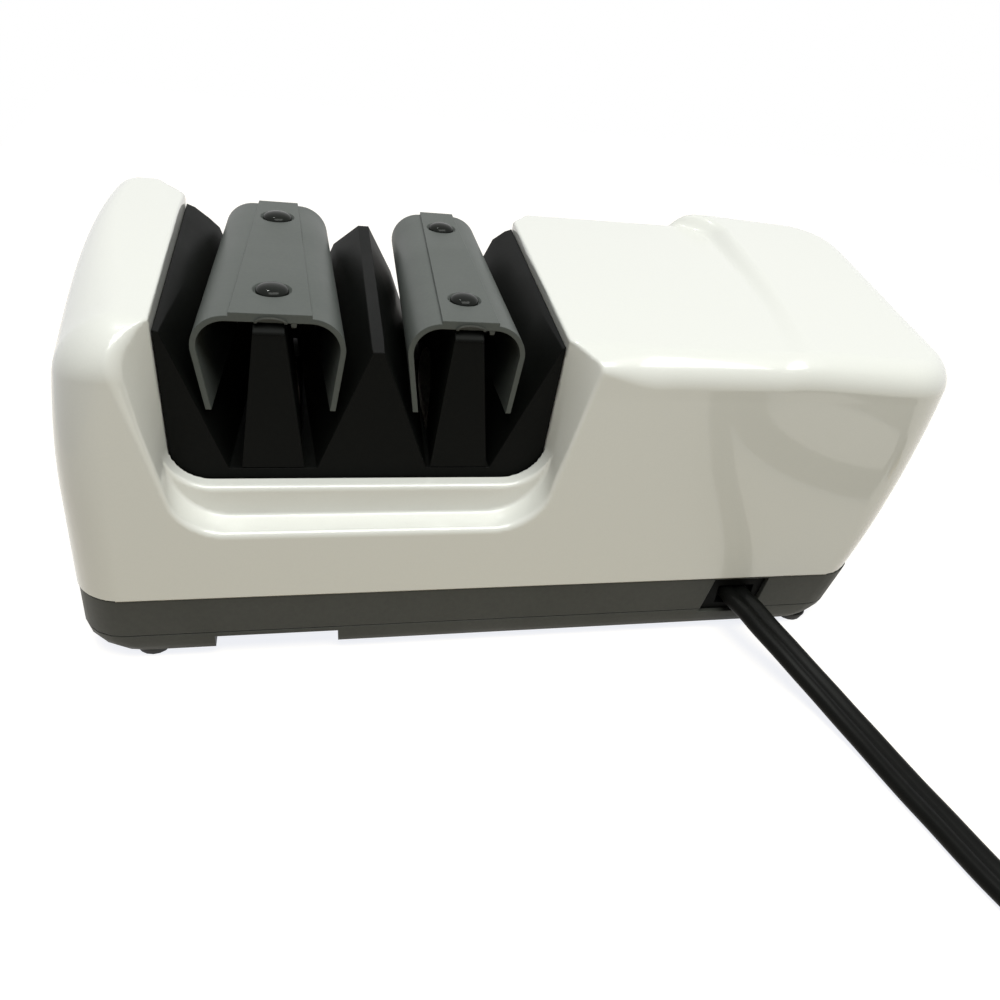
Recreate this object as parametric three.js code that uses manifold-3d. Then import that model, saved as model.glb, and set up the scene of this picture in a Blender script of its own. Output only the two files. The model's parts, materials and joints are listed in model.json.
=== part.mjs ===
// Electric two-stage knife sharpener, in millimetres, +Z up, standing on Z = 0.
// Lengths along X are written from the plane of the guide's divider; the whole product is then
// moved so that the origin lies under the middle of its bounding box. The front is -Y.
import * as THREE from 'three';
import { mergeVertices } from 'three/addons/utils/BufferGeometryUtils.js';
import Module from 'manifold-3d';

const wasm = await Module();
wasm.setup();

// Clearances and fineness
const fit = 0.3;
const overrun = 3;
const weld = 0.0001;
const roundSteps = 32;
const smallRoundSteps = 16;
const cornerSteps = 5;
const outerEdgeSteps = 4;
const innerEdgeSteps = 2;

// Levels of the base
const footHeight = 3;
const coverHeight = 6.4;
const frameHeight = 12.3;
const coverTop = footHeight + coverHeight;
const frameBottom = coverTop + fit;
const frameTop = frameBottom + frameHeight;
const shellBottom = frameTop + fit;
const deckUp = 4.5;
const deckThick = 2.5;
const deckTop = frameBottom + deckUp;

// Outer size of the housing
const leftReach = 78;
const rightReach = 172;
const halfDepth = 54.6;
const wall = 2.6;

// Housing walls: draft of the front, lean of the ends and their bow in plan
const faceDraft = 1;
const faceDraftHeight = 63;
const leftLean = 2;
const leftLeanHeight = 70;
const leftBow = 1;
const rightLean = 14.4;
const rightLeanTop = 88;
const rightLeanHeight = 66;
const rightLeanPower = 1.6;
const rightBow = 2;
const bowPower = 4;
const leftCorner = 13;
const rightCornerLow = 14;
const rightCornerHigh = 18;

// Housing top: left tower, flat panel on the right of the guide and raised hump at the rear right
const ledgeHeight = 54;
const troughDepth = 44.5;
const towerHeight = ledgeHeight + troughDepth;
const towerRise = 3.5;
const panelDrop = 1.5;
const panelHeight = towerHeight - panelDrop;
const panelRise = 2.2;
const humpDrop = 1.2;
const humpHeight = towerHeight - humpDrop;
const humpRise = 7.5;
const humpRisePower = 1.3;
const humpFallLength = 20;
const humpFall = 1;
const towerEnd = -40;
const panelStart = 20;
const stepAt = 121;
const stepLength = 7.5;
const stepStraightFront = 10;
const stepRearInset = 24.6;
const stepStraightRear = halfDepth - stepRearInset;
const stepFrontSweep = 3.5;
const stepFrontSpanInset = 14.6;
const stepFrontSpan = halfDepth - stepFrontSpanInset;
const stepRearSweep = 13;
const stepRearSpan = 22;
const stepReach = 30;
const towerEdge = 11.5;
const panelEdge = 8.5;
const endEdge = 9.5;

// Trough for the guide: nested U outlines, each with its floor level, side lines and corners
const ledgeInset = 7.1;
const ledgeDepth = 4.6;
const mouthInset = 0.6;
const lowerLedgeDrop = 9;
const lowerLedgeFall = 1.3;
const ledgeFront = halfDepth - ledgeInset;
const blockFront = ledgeFront - ledgeDepth;
const mouthDepth = halfDepth - mouthInset;
const lowerLedgeInner = ledgeHeight - lowerLedgeDrop;
const lowerLedgeOuter = lowerLedgeInner - lowerLedgeFall;
const troughTop = 120;
const rimU = {
  floor: ledgeHeight, left: -51.6, right: 46.05, leftRadius: 9.7, rightRadius: 11,
  leftLean: 0.029, rightLean: 0.064,
};
const ledgeU = {
  floor: ledgeHeight, left: -52.3, right: 46.8, leftRadius: 10.5, rightRadius: 12,
  leftLean: 0.09, rightLean: 0.12,
};
const bandU = {
  floor: lowerLedgeInner, left: -51.5, right: 45.7, leftRadius: 14, rightRadius: 15,
  leftLean: 0.09, rightLean: 0.12,
};
const mouthU = {
  floor: lowerLedgeOuter, left: -48.6, right: 43.9, leftRadius: 9.5, rightRadius: 11.5,
  leftLean: 0.25, rightLean: 0.25,
};

// Guide insert: two outer walls, a divider and two slotted floors, narrowing to the rear
const insertHalf = blockFront - fit;
const slotFloorRise = 2.7;
const slotFloor = ledgeHeight + slotFloorRise;
const insertWall = 2.3;
const wallRoof = [
  { inward: 2.2, down: 0.9 },
  { inward: 6.2, down: 4.1 },
  { inward: 11.8, down: 9.6 },
];
const insertTopDrop = 2;
const insertTop = towerHeight - insertTopDrop;
const insertTopTilt = 0.85;
const insertRightDrop = 1.1;
const ridgeDrop = 3.8;
const ridgeHeight = insertTop - ridgeDrop;
const ridgeTilt = 1.3;
const ridgeHalf = 1.6;
const ridgeLeft = { run: 9.4, drop: 8.1 };
const ridgeRight = { run: 8.6, drop: 16.8 };
const leftWallFace = { front: -37.5, rear: -31.5, lean: -0.357 };
const dividerLeftFace = { front: -15.3, rear: -21.5, lean: 0.399 };
const dividerRightFace = { front: 13.6, rear: 17.1, lean: -0.353 };
const rightWallFace = { front: 31.4, rear: 27.1, lean: 0.431 };
const flangeHeight = 2.1;
const flangeDrop = 5;
const flangeBottom = ledgeHeight - flangeDrop;
const flangeSide = 2;
const flangeLap = 1.8;
const flangeHalf = insertHalf + flangeLap;
const wallCoreDrop = 16.5;
const wallCoreTop = insertTop - wallCoreDrop;
const dividerCoreDrop = 14.7;
const dividerCoreTop = ridgeHeight - dividerCoreDrop;

// Stages: a post, a riveted guide spring and two discs each
const leftStage = -26.4;
const rightStage = 22.6;
const postFoot = { front: 7.85, rear: 3.4 };
const postHead = { front: 3.55, rear: 1.6 };
const postBevel = 2.9;
const postBevelDrop = 1.9;
const springInset = 1.2;
const springHalf = insertHalf - springInset;
const springUp = 2.9;
const springTop = insertTop + springUp;
const springWall = 1.4;
const springTall = 25.8;
const springTip = springTop - springTall;
const springHipDrop = 8.4;
const springHip = springTop - springHipDrop;
const shoulder = 8.5;
const leftSpring = { hip: { front: 18.5, rear: 15.4 }, tip: { front: 15.2, rear: 10.2 } };
const rightSpring = { hip: { front: 15.35, rear: 13.7 }, tip: { front: 13.3, rear: 10.3 } };
const stripProud = 0.9;
const leftStrip = { front: 9.8, rear: 5.65 };
const rightStrip = { front: 7.25, rear: 5.15 };
const rivetInset = 14.4;
const rivetAt = springHalf - rivetInset;
const rivetShank = 0.9;
const rivetDepth = 5;
const rivetRim = 0.5;
const rivetDome = 1.1;
const domeMidShare = { radius: 0.82, height: 0.55 };
const domeTopShare = { radius: 0.45, height: 0.9 };
const leftRivet = { rim: 5.15, head: 4.25 };
const rightRivet = { rim: 4.55, head: 3.8 };

// Shaft and discs
const shaftDrop = 9;
const shaftHeight = ledgeHeight - shaftDrop;
const shaftRadius = 3;
const shaftLeft = -64;
const shaftRight = 137;
const discGap = 6.2;
const discRadius = shaftHeight - deckTop - discGap;
const archGap = 1;
const postArch = discRadius + archGap;
const discFace = 7.3;
const discRim = 4.6;
const discBack = 2.4;
const discHub = 6.5;
const discOpeningHalf = 7.2;
const discSpringRadius = 4.6;
const discSpringWire = 0.7;
const discSpringCurls = 2.5;
const curlSteps = 8;
const curlSides = 5;

// Motor: a C-shaped stack with the rotor below and the coil round its top leg
const statorLeft = 85;
const statorLength = 25;
const statorHalf = 24;
const statorBelow = 19;
const statorAbove = 41;
const statorBottom = shaftHeight - statorBelow;
const statorTop = shaftHeight + statorAbove;
const statorBore = 14.6;
const windowHalf = 14.5;
const windowUp = 19;
const windowTall = 11;
const windowBottom = shaftHeight + windowUp;
const windowTop = windowBottom + windowTall;
const rotorRadius = 14;
const rotorOverhang = 1.5;
const coilHalf = 13.5;
const coilOverhang = 7;
const coilOver = 5;
const bracketThick = 3;
const bracketStand = 10;
const bracketHalf = 24;
const bracketUp = 17;
const bracketTop = shaftHeight + bracketUp;
const bearingRadius = 8;
const bearingLength = 7;
const fanLeft = 126;
const fanLength = 9;
const fanHub = 8;
const fanGap = 5.8;
const fanRadius = shaftHeight - deckTop - fanGap;
const fanBlades = 8;
const fanBladeThick = 1.6;
const fanPlate = 1.8;
const motorScrewRadius = 2;
const motorScrewHead = 3.6;
const motorScrewHeadHeight = 2.4;
const motorScrewSide = 18.5;
const motorScrewDown = 13;
const motorScrewHeight = shaftHeight - motorScrewDown;
const standoffRadius = 4;
const shaftBracketLeft = -61;
const shaftBracketThick = 4;
const shaftBracketHalf = 13;
const shaftBracketUp = 13;
const shaftBracketTop = shaftHeight + shaftBracketUp;

// Base
const baseStep = 0.6;
const baseLeftStep = 0.5;
const baseRightStep = 16;
const baseRightFall = 5;
const baseHalf = halfDepth - baseStep;
const baseLeft = leftReach - baseLeftStep;
const baseRightTop = rightReach - baseRightStep;
const baseRightLow = baseRightTop - baseRightFall;
const baseRightLowAt = 5;
const baseCorner = 12;
const baseWall = 2.8;
const coverThick = 2.4;
const coverRound = [
  { up: 0, end: 7, side: 1.4 },
  { up: 0.9, end: 4.2, side: 0.5 },
  { up: 2.6, end: 1.8, side: 0.1 },
  { up: 4.4, end: 0.5, side: 0 },
];
const notchLeft = -43.2;
const notchRight = -9.8;
const notchHeight = 5;
const trayThick = 3.4;
const trayWall = 1.2;
const trayBack = 30;
const trayInset = 14;
const trayFront = baseHalf - trayInset;
const trayRail = 1.6;
const trayRailHeight = 1.2;
const trayRailUp = 1.6;
const trayTravel = 45;
const dustHalf = 9;
const dustDepth = 17;
const footRadius = 5.2;
const footTaper = 0.8;
const footStem = 2;
const footStemHeight = 3;
const footLeftInset = 17.5;
const footRightInset = 16;
const footSideInset = 7;
const footAt = {
  left: footLeftInset - baseLeft, right: baseRightTop - footRightInset, side: baseHalf - footSideInset,
};
const ventCount = 5;
const ventPitch = 7;
const ventWidth = 3;
const ventHalf = 17;
const ventAt = 86;

// Housing screws and the bosses that they hold
const screwLeftInset = 11.5;
const screwRightInset = 16;
const screwSideInset = 21;
const screwAt = {
  left: screwLeftInset - baseLeft, right: baseRightTop - screwRightInset, side: baseHalf - screwSideInset,
};
const screwRadius = 1.5;
const screwHead = 3;
const screwHeadHeight = 2.4;
const screwSink = 3;
const screwTop = 34;
const bossRadius = 4.4;
const bossTop = 40;
const bossRib = 2;

// Switch in the rear wall
const switchAt = 128;
const switchHeight = 36;
const bezelWidth = 22;
const bezelHeight = 16;
const bezelThick = 1;
const bezelSunk = 0.2;
const switchWidth = 19;
const switchTall = 12.8;
const switchDepth = 12;
const switchWellWidth = 17.4;
const switchWellTall = 11;
const switchWellDepth = 6;
const rockerHalf = 8.1;
const rockerTall = 10.2;
const rockerTilt = 6;
const rockerRise = 1.4;
const rockerWaist = 0.8;
const rockerBelly = 2.4;

// Cord bushing in the front of the base
const bushingLeft = 102.5;
const bushingRight = 123.5;
const bushingRightLow = 121.2;
const bushingTopLeft = 105.5;
const bushingLow = 8.5;
const bushingHigh = 21.2;
const bushingRecess = 1.4;
const bushingPlate = 3;
const bushingBody = 8;
const bushingBodyInset = 2.4;
const socketDepth = 2.4;
const socketPlay = 1;
const cordSeat = 0.8;
const cordExitX = 113.8;
const cordExitZ = 14.3;

// Cord: two round cores side by side, with a groove between them
const cordWidth = 10;
const cordThick = 5;
const cordGroove = 1.6;
const cordSteps = 26;
const cordLobeTurns = [-100, -50, 0, 50, 100];
const coilTurns = 1.5;
const coilOuter = 58;
const coilPitch = 11.3;
const coilLift = 5.8;
const coilStepsPerTurn = 24;
const coilLead = 10;
const coilTail = 30;
const floorGap = 0.05;
const coilSection = { flat: 2.9, tall: 2.5 };

// Plug with two flat blades
const plugSections = [
  { at: 0, half: 6.2, tall: 4.4 },
  { at: 9, half: 7.2, tall: 5 },
  { at: 14, half: 12.4, tall: 6.6 },
  { at: 30, half: 13.4, tall: 7.1 },
  { at: 33, half: 12.6, tall: 6.6 },
];
const plugRest = 0.2;
const plugChamfer = 2;
const bladeSpacing = 12.7;
const bladeWide = 6.35;
const bladeThick = 1.5;
const bladeLength = 17;
const bladeSeat = 4;

const product = new THREE.Group();
product.position.x = (leftReach - rightReach) / 2;

// Solids

const looks = {
  pearl: { color: 0xe9eae4, roughness: 0.22, metalness: 0 },
  charcoal: { color: 0x383934, roughness: 0.6, metalness: 0 },
  black: { color: 0x141513, roughness: 0.5, metalness: 0 },
  grey: { color: 0x5d6361, roughness: 0.45, metalness: 0 },
  gloss: { color: 0x0b0b0b, roughness: 0.15, metalness: 0 },
  rubber: { color: 0x101010, roughness: 0.8, metalness: 0 },
  cord: { color: 0x161616, roughness: 0.4, metalness: 0 },
  steel: { color: 0xb9bcc0, roughness: 0.3, metalness: 1 },
  brass: { color: 0xc6a14f, roughness: 0.35, metalness: 1 },
  iron: { color: 0x6c6f74, roughness: 0.5, metalness: 1 },
  copper: { color: 0xb06a3b, roughness: 0.4, metalness: 1 },
  abrasive: { color: 0x9a9484, roughness: 0.85, metalness: 0.2 },
};

function mix(from, to, share) {
  return from + (to - from) * share;
}

function smooth(share) {
  const t = Math.min(Math.max(share, 0), 1);
  return t * t * (3 - 2 * t);
}

// A closed triangle mesh as a solid; a mesh that came out inside out is turned round.
function solid(geometry) {
  const bare = geometry.clone();
  bare.deleteAttribute('normal');
  bare.deleteAttribute('uv');
  const merged = mergeVertices(bare, weld);
  const { array } = merged.attributes.position;
  const corners = [];
  for (let i = 0; i < merged.index.count; i += 3) {
    const [a, b, c] = [0, 1, 2].map((k) => merged.index.getX(i + k));
    if (a !== b && b !== c && c !== a) {
      corners.push(a, b, c);
    }
  }
  if (signedVolume(array, corners) < 0) {
    corners.reverse();
  }
  return new wasm.Manifold(new wasm.Mesh({
    numProp: 3,
    vertProperties: Float32Array.from(array),
    triVerts: Uint32Array.from(corners),
  }));
}

function signedVolume(array, corners) {
  const [a, b, c] = [new THREE.Vector3(), new THREE.Vector3(), new THREE.Vector3()];
  let volume = 0;
  for (let i = 0; i < corners.length; i += 3) {
    a.fromArray(array, corners[i] * 3);
    b.fromArray(array, corners[i + 1] * 3);
    c.fromArray(array, corners[i + 2] * 3);
    volume += a.dot(b.cross(c)) / 6;
  }
  return volume;
}

function joined(first, ...others) {
  return others.reduce((whole, piece) => whole.add(piece), first);
}

function without(first, ...cuts) {
  return cuts.reduce((whole, cut) => whole.subtract(cut), first);
}

function add(name, look, piece, parent = product) {
  const mesh = piece.getMesh();
  const geometry = new THREE.BufferGeometry();
  geometry.setAttribute('position', new THREE.Float32BufferAttribute(mesh.vertProperties, 3));
  geometry.setIndex(new THREE.Uint32BufferAttribute(mesh.triVerts, 1));
  geometry.computeVertexNormals();
  const material = new THREE.MeshStandardMaterial({ ...looks[look], flatShading: true });
  const part = new THREE.Mesh(geometry, material);
  part.name = name;
  parent.add(part);
  return part;
}

function centred(middle, size) {
  return [middle - size / 2, middle + size / 2];
}

function slab([x0, x1], [y0, y1], [z0, z1]) {
  const geometry = new THREE.BoxGeometry(x1 - x0, y1 - y0, z1 - z0);
  return solid(geometry.translate((x0 + x1) / 2, (y0 + y1) / 2, (z0 + z1) / 2));
}

// A body turned about Z, X or Y; the profile runs as [radius, height] from axis to axis.
function turned(profile, steps, axis, [x, y, z]) {
  const points = profile.map(([radius, height]) => new THREE.Vector2(radius, height));
  const geometry = new THREE.LatheGeometry(points, steps);
  const turns = { x: [0, 0, -Math.PI / 2], y: [0, 0, 0], z: [Math.PI / 2, 0, 0] };
  const [rx, , rz] = turns[axis];
  return solid(geometry.rotateX(rx).rotateZ(rz).translate(x, y, z));
}

function rod(radius, from, to, steps, axis, centre) {
  return turned([[0, from], [radius, from], [radius, to], [0, to]], steps, axis, centre);
}

// The triangles between closed rings of equally many points, stacked one after another
function ringSides(ringCount, count) {
  const corners = [];
  for (let i = 1; i < ringCount; i += 1) {
    for (let j = 0; j < count; j += 1) {
      const next = (j + 1) % count;
      const [a, b] = [(i - 1) * count + j, (i - 1) * count + next];
      const [c, d] = [i * count + j, i * count + next];
      corners.push(a, b, d, a, d, c);
    }
  }
  return corners;
}

// Skins a row of closed rings of equally many points and caps both ends.
function loft(rings, flatten) {
  const count = rings[0].length;
  const turnedRings = THREE.ShapeUtils.isClockWise(rings[0].map(flatten))
    ? rings.map((ring) => [...ring].reverse())
    : rings;
  const corners = ringSides(rings.length, count);
  const last = (rings.length - 1) * count;
  for (const [a, b, c] of THREE.ShapeUtils.triangulateShape(turnedRings[0].map(flatten), [])) {
    corners.push(c, b, a);
  }
  for (const [a, b, c] of THREE.ShapeUtils.triangulateShape(turnedRings.at(-1).map(flatten), [])) {
    corners.push(last + a, last + b, last + c);
  }
  const geometry = new THREE.BufferGeometry().setFromPoints(turnedRings.flat());
  geometry.setIndex(corners);
  return solid(geometry);
}

function seenFromFront(point) {
  return new THREE.Vector2(point.x, point.z);
}

function seenFromAbove(point) {
  return new THREE.Vector2(point.x, point.y);
}

// Sections across Y: each is { y, outline } with the outline's points as [x, z].
function alongY(sections) {
  return loft(
    sections.map(({ y, outline }) => outline.map(([x, z]) => new THREE.Vector3(x, y, z))),
    seenFromFront,
  );
}

// A plate or bar with rounded corners in plan, skinned through its levels.
function plate(levels) {
  const rings = levels.map(({ z, left, right, half, corner }) => {
    const ring = [];
    const centres = [
      [right - corner, half - corner],
      [left + corner, half - corner],
      [left + corner, corner - half],
      [right - corner, corner - half],
    ];
    centres.forEach(([cx, cy], quarter) => {
      for (let i = 0; i <= cornerSteps; i += 1) {
        const angle = (quarter + i / cornerSteps) * (Math.PI / 2);
        ring.push(new THREE.Vector3(cx + corner * Math.cos(angle), cy + corner * Math.sin(angle), z));
      }
    });
    return ring;
  });
  return loft(rings, seenFromAbove);
}

function tube(outline, path, steps) {
  const shape = new THREE.Shape(outline.map(([x, y]) => new THREE.Vector2(x, y)));
  return solid(new THREE.ExtrudeGeometry(shape, { steps, curveSegments: 1, extrudePath: path }));
}

function roundOutline(radius, sidesCount) {
  return Array.from({ length: sidesCount }, (_, i) => arcPoint(0, 0, radius, (2 * Math.PI * i) / sidesCount));
}

class Helix extends THREE.Curve {
  constructor(x, radius, length, turns) {
    super();
    Object.assign(this, { x, radius, length, turns });
  }

  getPoint(t, target = new THREE.Vector3()) {
    const angle = 2 * Math.PI * this.turns * t;
    const x = this.x + this.length * (t - 1 / 2);
    return target.set(x, this.radius * Math.cos(angle), shaftHeight + this.radius * Math.sin(angle));
  }
}

function discSpring(x) {
  const length = 2 * (discBack - fit) - discSpringWire;
  const path = new Helix(x, discSpringRadius, length, discSpringCurls);
  return tube(roundOutline(discSpringWire / 2, curlSides), path, discSpringCurls * curlSteps);
}

// Housing

function leftEnd(z) {
  return leftReach - leftBow - leftLean * ((z - shellBottom) / leftLeanHeight) ** 2;
}

function rightEnd(z) {
  const down = Math.max(rightLeanTop - z, 0) / rightLeanHeight;
  return rightReach - rightBow - rightLean * down ** rightLeanPower;
}

function faceAt(z) {
  return halfDepth - faceDraft * Math.min((z - shellBottom) / faceDraftHeight, 1);
}

function rightCorner(z) {
  return mix(rightCornerLow, rightCornerHigh, smooth((z - shellBottom) / faceDraftHeight));
}

function depthShare(y) {
  return Math.min(Math.max((y + halfDepth) / (2 * halfDepth), 0), 1);
}

// Where the step between panel and hump lies: straight in the middle, swept back at both ends.
function stepSweep(y) {
  if (y > stepStraightRear) {
    return -stepRearSweep * ((y - stepStraightRear) / stepRearSpan) ** 2;
  }
  if (y < stepStraightFront) {
    return -stepFrontSweep * ((y - stepStraightFront) / stepFrontSpan) ** 2;
  }
  return 0;
}

function topAt(x, y) {
  const share = depthShare(y);
  const tower = towerHeight + towerRise * share;
  const panel = panelHeight + panelRise * share;
  const fall = humpFall * Math.max(x - stepAt, 0) / humpFallLength;
  const hump = humpHeight + humpRise * share ** humpRisePower - fall;
  const flat = mix(tower, panel, smooth((x - towerEnd) / (panelStart - towerEnd)));
  return mix(flat, hump, smooth((x - stepAt - stepSweep(y)) / stepLength + 1 / 2));
}

function topEdge(x) {
  return mix(towerEdge, panelEdge, smooth((x - towerEnd) / (panelStart - towerEnd)));
}

// Moves a point of the plan along X: the rows near the step follow it, and the ends bow out.
function shifted(x, y) {
  const near = Math.max(1 - ((x - stepAt) / stepReach) ** 2, 0) ** 2;
  const swept = x + near * stepSweep(y);
  const across = 1 - (y / halfDepth) ** 2;
  const bow = swept < 0 ? leftBow : rightBow;
  const reach = swept < 0 ? leftReach : rightReach;
  return swept + Math.sign(swept) * bow * across * Math.abs(swept / reach) ** bowPower;
}

// Stations of the straight front edge, as shares of it, closer together over the step.
const frontShares = [
  0.06, 0.16, 0.3, 0.44, 0.56, 0.64, 0.7, 0.745, 0.775, 0.795, 0.812, 0.829, 0.846, 0.866,
  0.89, 0.92, 0.96,
];
const depthSteps = 10;
const rows = 2 * (cornerSteps + 1) + frontShares.length;

function arcPoint(x, y, radius, angle) {
  return [x + radius * Math.cos(angle), y + radius * Math.sin(angle)];
}

// A front point of the plan outline at height z, drawn in by an inset; rows run left to right.
function frontPoint(row, z, inset) {
  const half = faceAt(z);
  const [left, right, corner] = [-leftEnd(z), rightEnd(z), rightCorner(z)];
  const quarter = Math.PI / 2 / cornerSteps;
  if (row <= cornerSteps) {
    const angle = Math.PI + row * quarter;
    return arcPoint(left + leftCorner, leftCorner - half, leftCorner - inset, angle);
  }
  const past = row - (rows - 1 - cornerSteps);
  if (past >= 0) {
    const angle = 3 * (Math.PI / 2) + past * quarter;
    return arcPoint(right - corner, corner - half, corner - inset, angle);
  }
  const share = frontShares[row - cornerSteps - 1];
  return [mix(left + leftCorner, right - corner, share), inset - half];
}

// Places round the outline: each has its row, and its share of the way from front to rear.
const frontRow = Array.from({ length: rows }, (_, row) => ({ row, share: 0 }));
const rearRow = frontRow.map(({ row }) => ({ row, share: 1 })).reverse();
const between = Array.from({ length: depthSteps - 1 }, (_, j) => (j + 1) / depthSteps);
const rightSide = between.map((share) => ({ row: rows - 1, share }));
const leftSide = between.map((share) => ({ row: 0, share })).reverse();
const stations = [...frontRow, ...rightSide, ...rearRow, ...leftSide];

function housingPoint({ row, share }, z, inset) {
  const [x, front] = frontPoint(row, z, inset);
  const y = mix(front, -front, share);
  return new THREE.Vector3(shifted(x, y), y, z);
}

function edgeRadius({ row }) {
  const [x] = frontPoint(row, towerHeight, 0);
  const fromEnd = Math.min(row, rows - 1 - row) / cornerSteps;
  return mix(endEdge, topEdge(x), Math.min(fromEnd, 1));
}

// The housing's outer form, or the form of its inside when drawn in by a wall.
function housingForm(inset, bottom, wallShares, edgeSteps) {
  const radii = stations.map(edgeRadius);
  const starts = stations.map((station, i) => {
    const crown = housingPoint(station, towerHeight, radii[i]);
    return topAt(crown.x, crown.y) - radii[i];
  });
  const rings = [stations.map((station) => housingPoint(station, bottom, inset))];
  for (const share of wallShares) {
    rings.push(stations.map((station, i) => housingPoint(station, mix(bottom, starts[i], share), inset)));
  }
  for (let k = 1; k <= edgeSteps; k += 1) {
    const angle = (k / edgeSteps) * (Math.PI / 2);
    rings.push(stations.map((station, i) => {
      const radius = radii[i] - inset;
      const drawn = inset + radius * (1 - Math.cos(angle));
      return housingPoint(station, starts[i] + radius * Math.sin(angle), drawn);
    }));
  }
  return crowned(rings, radii, inset);
}

// Joins the rings, lays the top surface inside the last one and closes the bottom.
function crowned(rings, radii, inset) {
  const count = stations.length;
  const last = (rings.length - 1) * count;
  const points = rings.flat();
  const corners = ringSides(rings.length, count);
  const grid = frontRow.map((station, row) => {
    const columns = between.map((share, j) => {
      if (row === 0) {
        return last + count - 1 - j;
      }
      if (row === rows - 1) {
        return last + rows + j;
      }
      const point = housingPoint({ row, share }, points[last + row].z, radii[row]);
      point.z = topAt(point.x, point.y) - inset;
      return points.push(point) - 1;
    });
    return [last + row, ...columns, last + rows + between.length + rows - 1 - row];
  });
  for (let i = 1; i < rows; i += 1) {
    for (let j = 1; j <= depthSteps; j += 1) {
      const [a, b] = [grid[i - 1][j - 1], grid[i][j - 1]];
      const [c, d] = [grid[i - 1][j], grid[i][j]];
      corners.push(a, b, d, a, d, c);
    }
  }
  for (const [a, b, c] of THREE.ShapeUtils.triangulateShape(rings[0].map(seenFromAbove), [])) {
    corners.push(c, b, a);
  }
  return solid(new THREE.BufferGeometry().setFromPoints(points).setIndex(corners));
}

// A U open upward: its sides lean out from the floor and meet it in round corners.
function uOutline(u, grow, top) {
  const floor = u.floor - grow;
  const [left, right] = [u.left - grow, u.right + grow];
  const [leftRadius, rightRadius] = [u.leftRadius + grow, u.rightRadius + grow];
  const leftTurn = Math.atan(u.leftLean);
  const rightTurn = Math.atan(u.rightLean);
  const leftX = left - u.leftLean * leftRadius + leftRadius / Math.cos(leftTurn);
  const rightX = right + u.rightLean * rightRadius - rightRadius / Math.cos(rightTurn);
  const points = [[left - u.leftLean * (top - floor), top]];
  for (let i = 0; i <= cornerSteps; i += 1) {
    const angle = mix(Math.PI + leftTurn, 3 * (Math.PI / 2), i / cornerSteps);
    points.push(arcPoint(leftX, floor + leftRadius, leftRadius, angle));
  }
  for (let i = 0; i <= cornerSteps; i += 1) {
    const angle = mix(3 * (Math.PI / 2), 2 * Math.PI - rightTurn, i / cornerSteps);
    points.push(arcPoint(rightX, floor + rightRadius, rightRadius, angle));
  }
  points.push([right + u.rightLean * (top - floor), top]);
  return points;
}

function blendU(from, to, share) {
  return Object.fromEntries(Object.keys(from).map((key) => [key, mix(from[key], to[key], share)]));
}

// The trough's front half: the ledge inside, then the lower ledge that opens to the front face.
function troughFront(grow) {
  const inner = ledgeFront - grow;
  const outer = halfDepth + overrun;
  const mouth = blendU(bandU, mouthU, (outer - ledgeFront) / (mouthDepth - ledgeFront));
  return alongY([
    { y: -outer, outline: uOutline(mouth, grow, troughTop) },
    { y: -inner, outline: uOutline(bandU, grow, troughTop) },
  ]);
}

function sideLine(x, lean, z) {
  return x + lean * (z - ledgeHeight);
}

// The straight-sided well that the guide insert fills; it runs through the trough's floor.
function insertWell(clearance, bottom, half) {
  const left = rimU.left - clearance;
  const right = rimU.right + clearance;
  const outline = [
    [sideLine(left, -rimU.leftLean, bottom), bottom],
    [sideLine(right, rimU.rightLean, bottom), bottom],
    [sideLine(right, rimU.rightLean, troughTop), troughTop],
    [sideLine(left, -rimU.leftLean, troughTop), troughTop],
  ];
  return alongY([{ y: -half, outline }, { y: half, outline }]);
}

const ledgeBand = alongY([
  { y: -ledgeFront, outline: uOutline(ledgeU, 0, troughTop) },
  { y: -blockFront, outline: uOutline(rimU, 0, troughTop) },
  { y: blockFront, outline: uOutline(rimU, 0, troughTop) },
  { y: ledgeFront, outline: uOutline(ledgeU, 0, troughTop) },
]);
const mirrorPlane = [0, 1, 0];
const troughCut = joined(
  ledgeBand,
  troughFront(0),
  troughFront(0).mirror(mirrorPlane),
  insertWell(0, ledgeHeight - wall - overrun, blockFront),
);
const troughGrown = joined(
  insertWell(wall, ledgeHeight - wall, ledgeFront - wall),
  troughFront(wall),
  troughFront(wall).mirror(mirrorPlane),
);

const outerShares = [0.2, 0.42, 0.68, 1];
const innerShares = [0.5, 1];
const housingOuter = housingForm(0, shellBottom, outerShares, outerEdgeSteps);
const housingInner = housingForm(wall, shellBottom - overrun, innerShares, innerEdgeSteps);

const screwPlaces = [-1, 1].flatMap((side) => [
  [screwAt.left, side * screwAt.side, -leftReach],
  [screwAt.right, side * screwAt.side, rightReach],
]);
const bosses = screwPlaces.map(([x, y, end]) => joined(
  rod(bossRadius, deckTop + fit, bossTop, smallRoundSteps, 'z', [x, y, 0]),
  slab([Math.min(x, end), Math.max(x, end)], [y - bossRib / 2, y + bossRib / 2], [shellBottom, bossTop])
    .intersect(housingOuter),
));
const screwHoles = screwPlaces.map(([x, y]) => (
  rod(screwRadius + fit, 0, screwTop + fit, smallRoundSteps, 'z', [x, y, 0])
));
const rearFace = faceAt(switchHeight);
const bezelFront = rearFace - bezelSunk;
const bezelBack = bezelFront - bezelThick;
const switchHole = joined(
  slab(
    centred(switchAt, switchWidth + 2 * fit),
    [halfDepth - switchDepth, halfDepth + overrun],
    centred(switchHeight, switchTall + 2 * fit),
  ),
  slab(
    centred(switchAt, bezelWidth + 2 * fit),
    [bezelBack - fit, halfDepth + overrun],
    centred(switchHeight, bezelHeight + 2 * fit),
  ),
);
const housingShell = without(housingOuter, troughCut, without(housingInner, troughGrown));
add('upper_housing', 'pearl', without(joined(housingShell, ...bosses), ...screwHoles, switchHole));

// Guide insert

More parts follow.
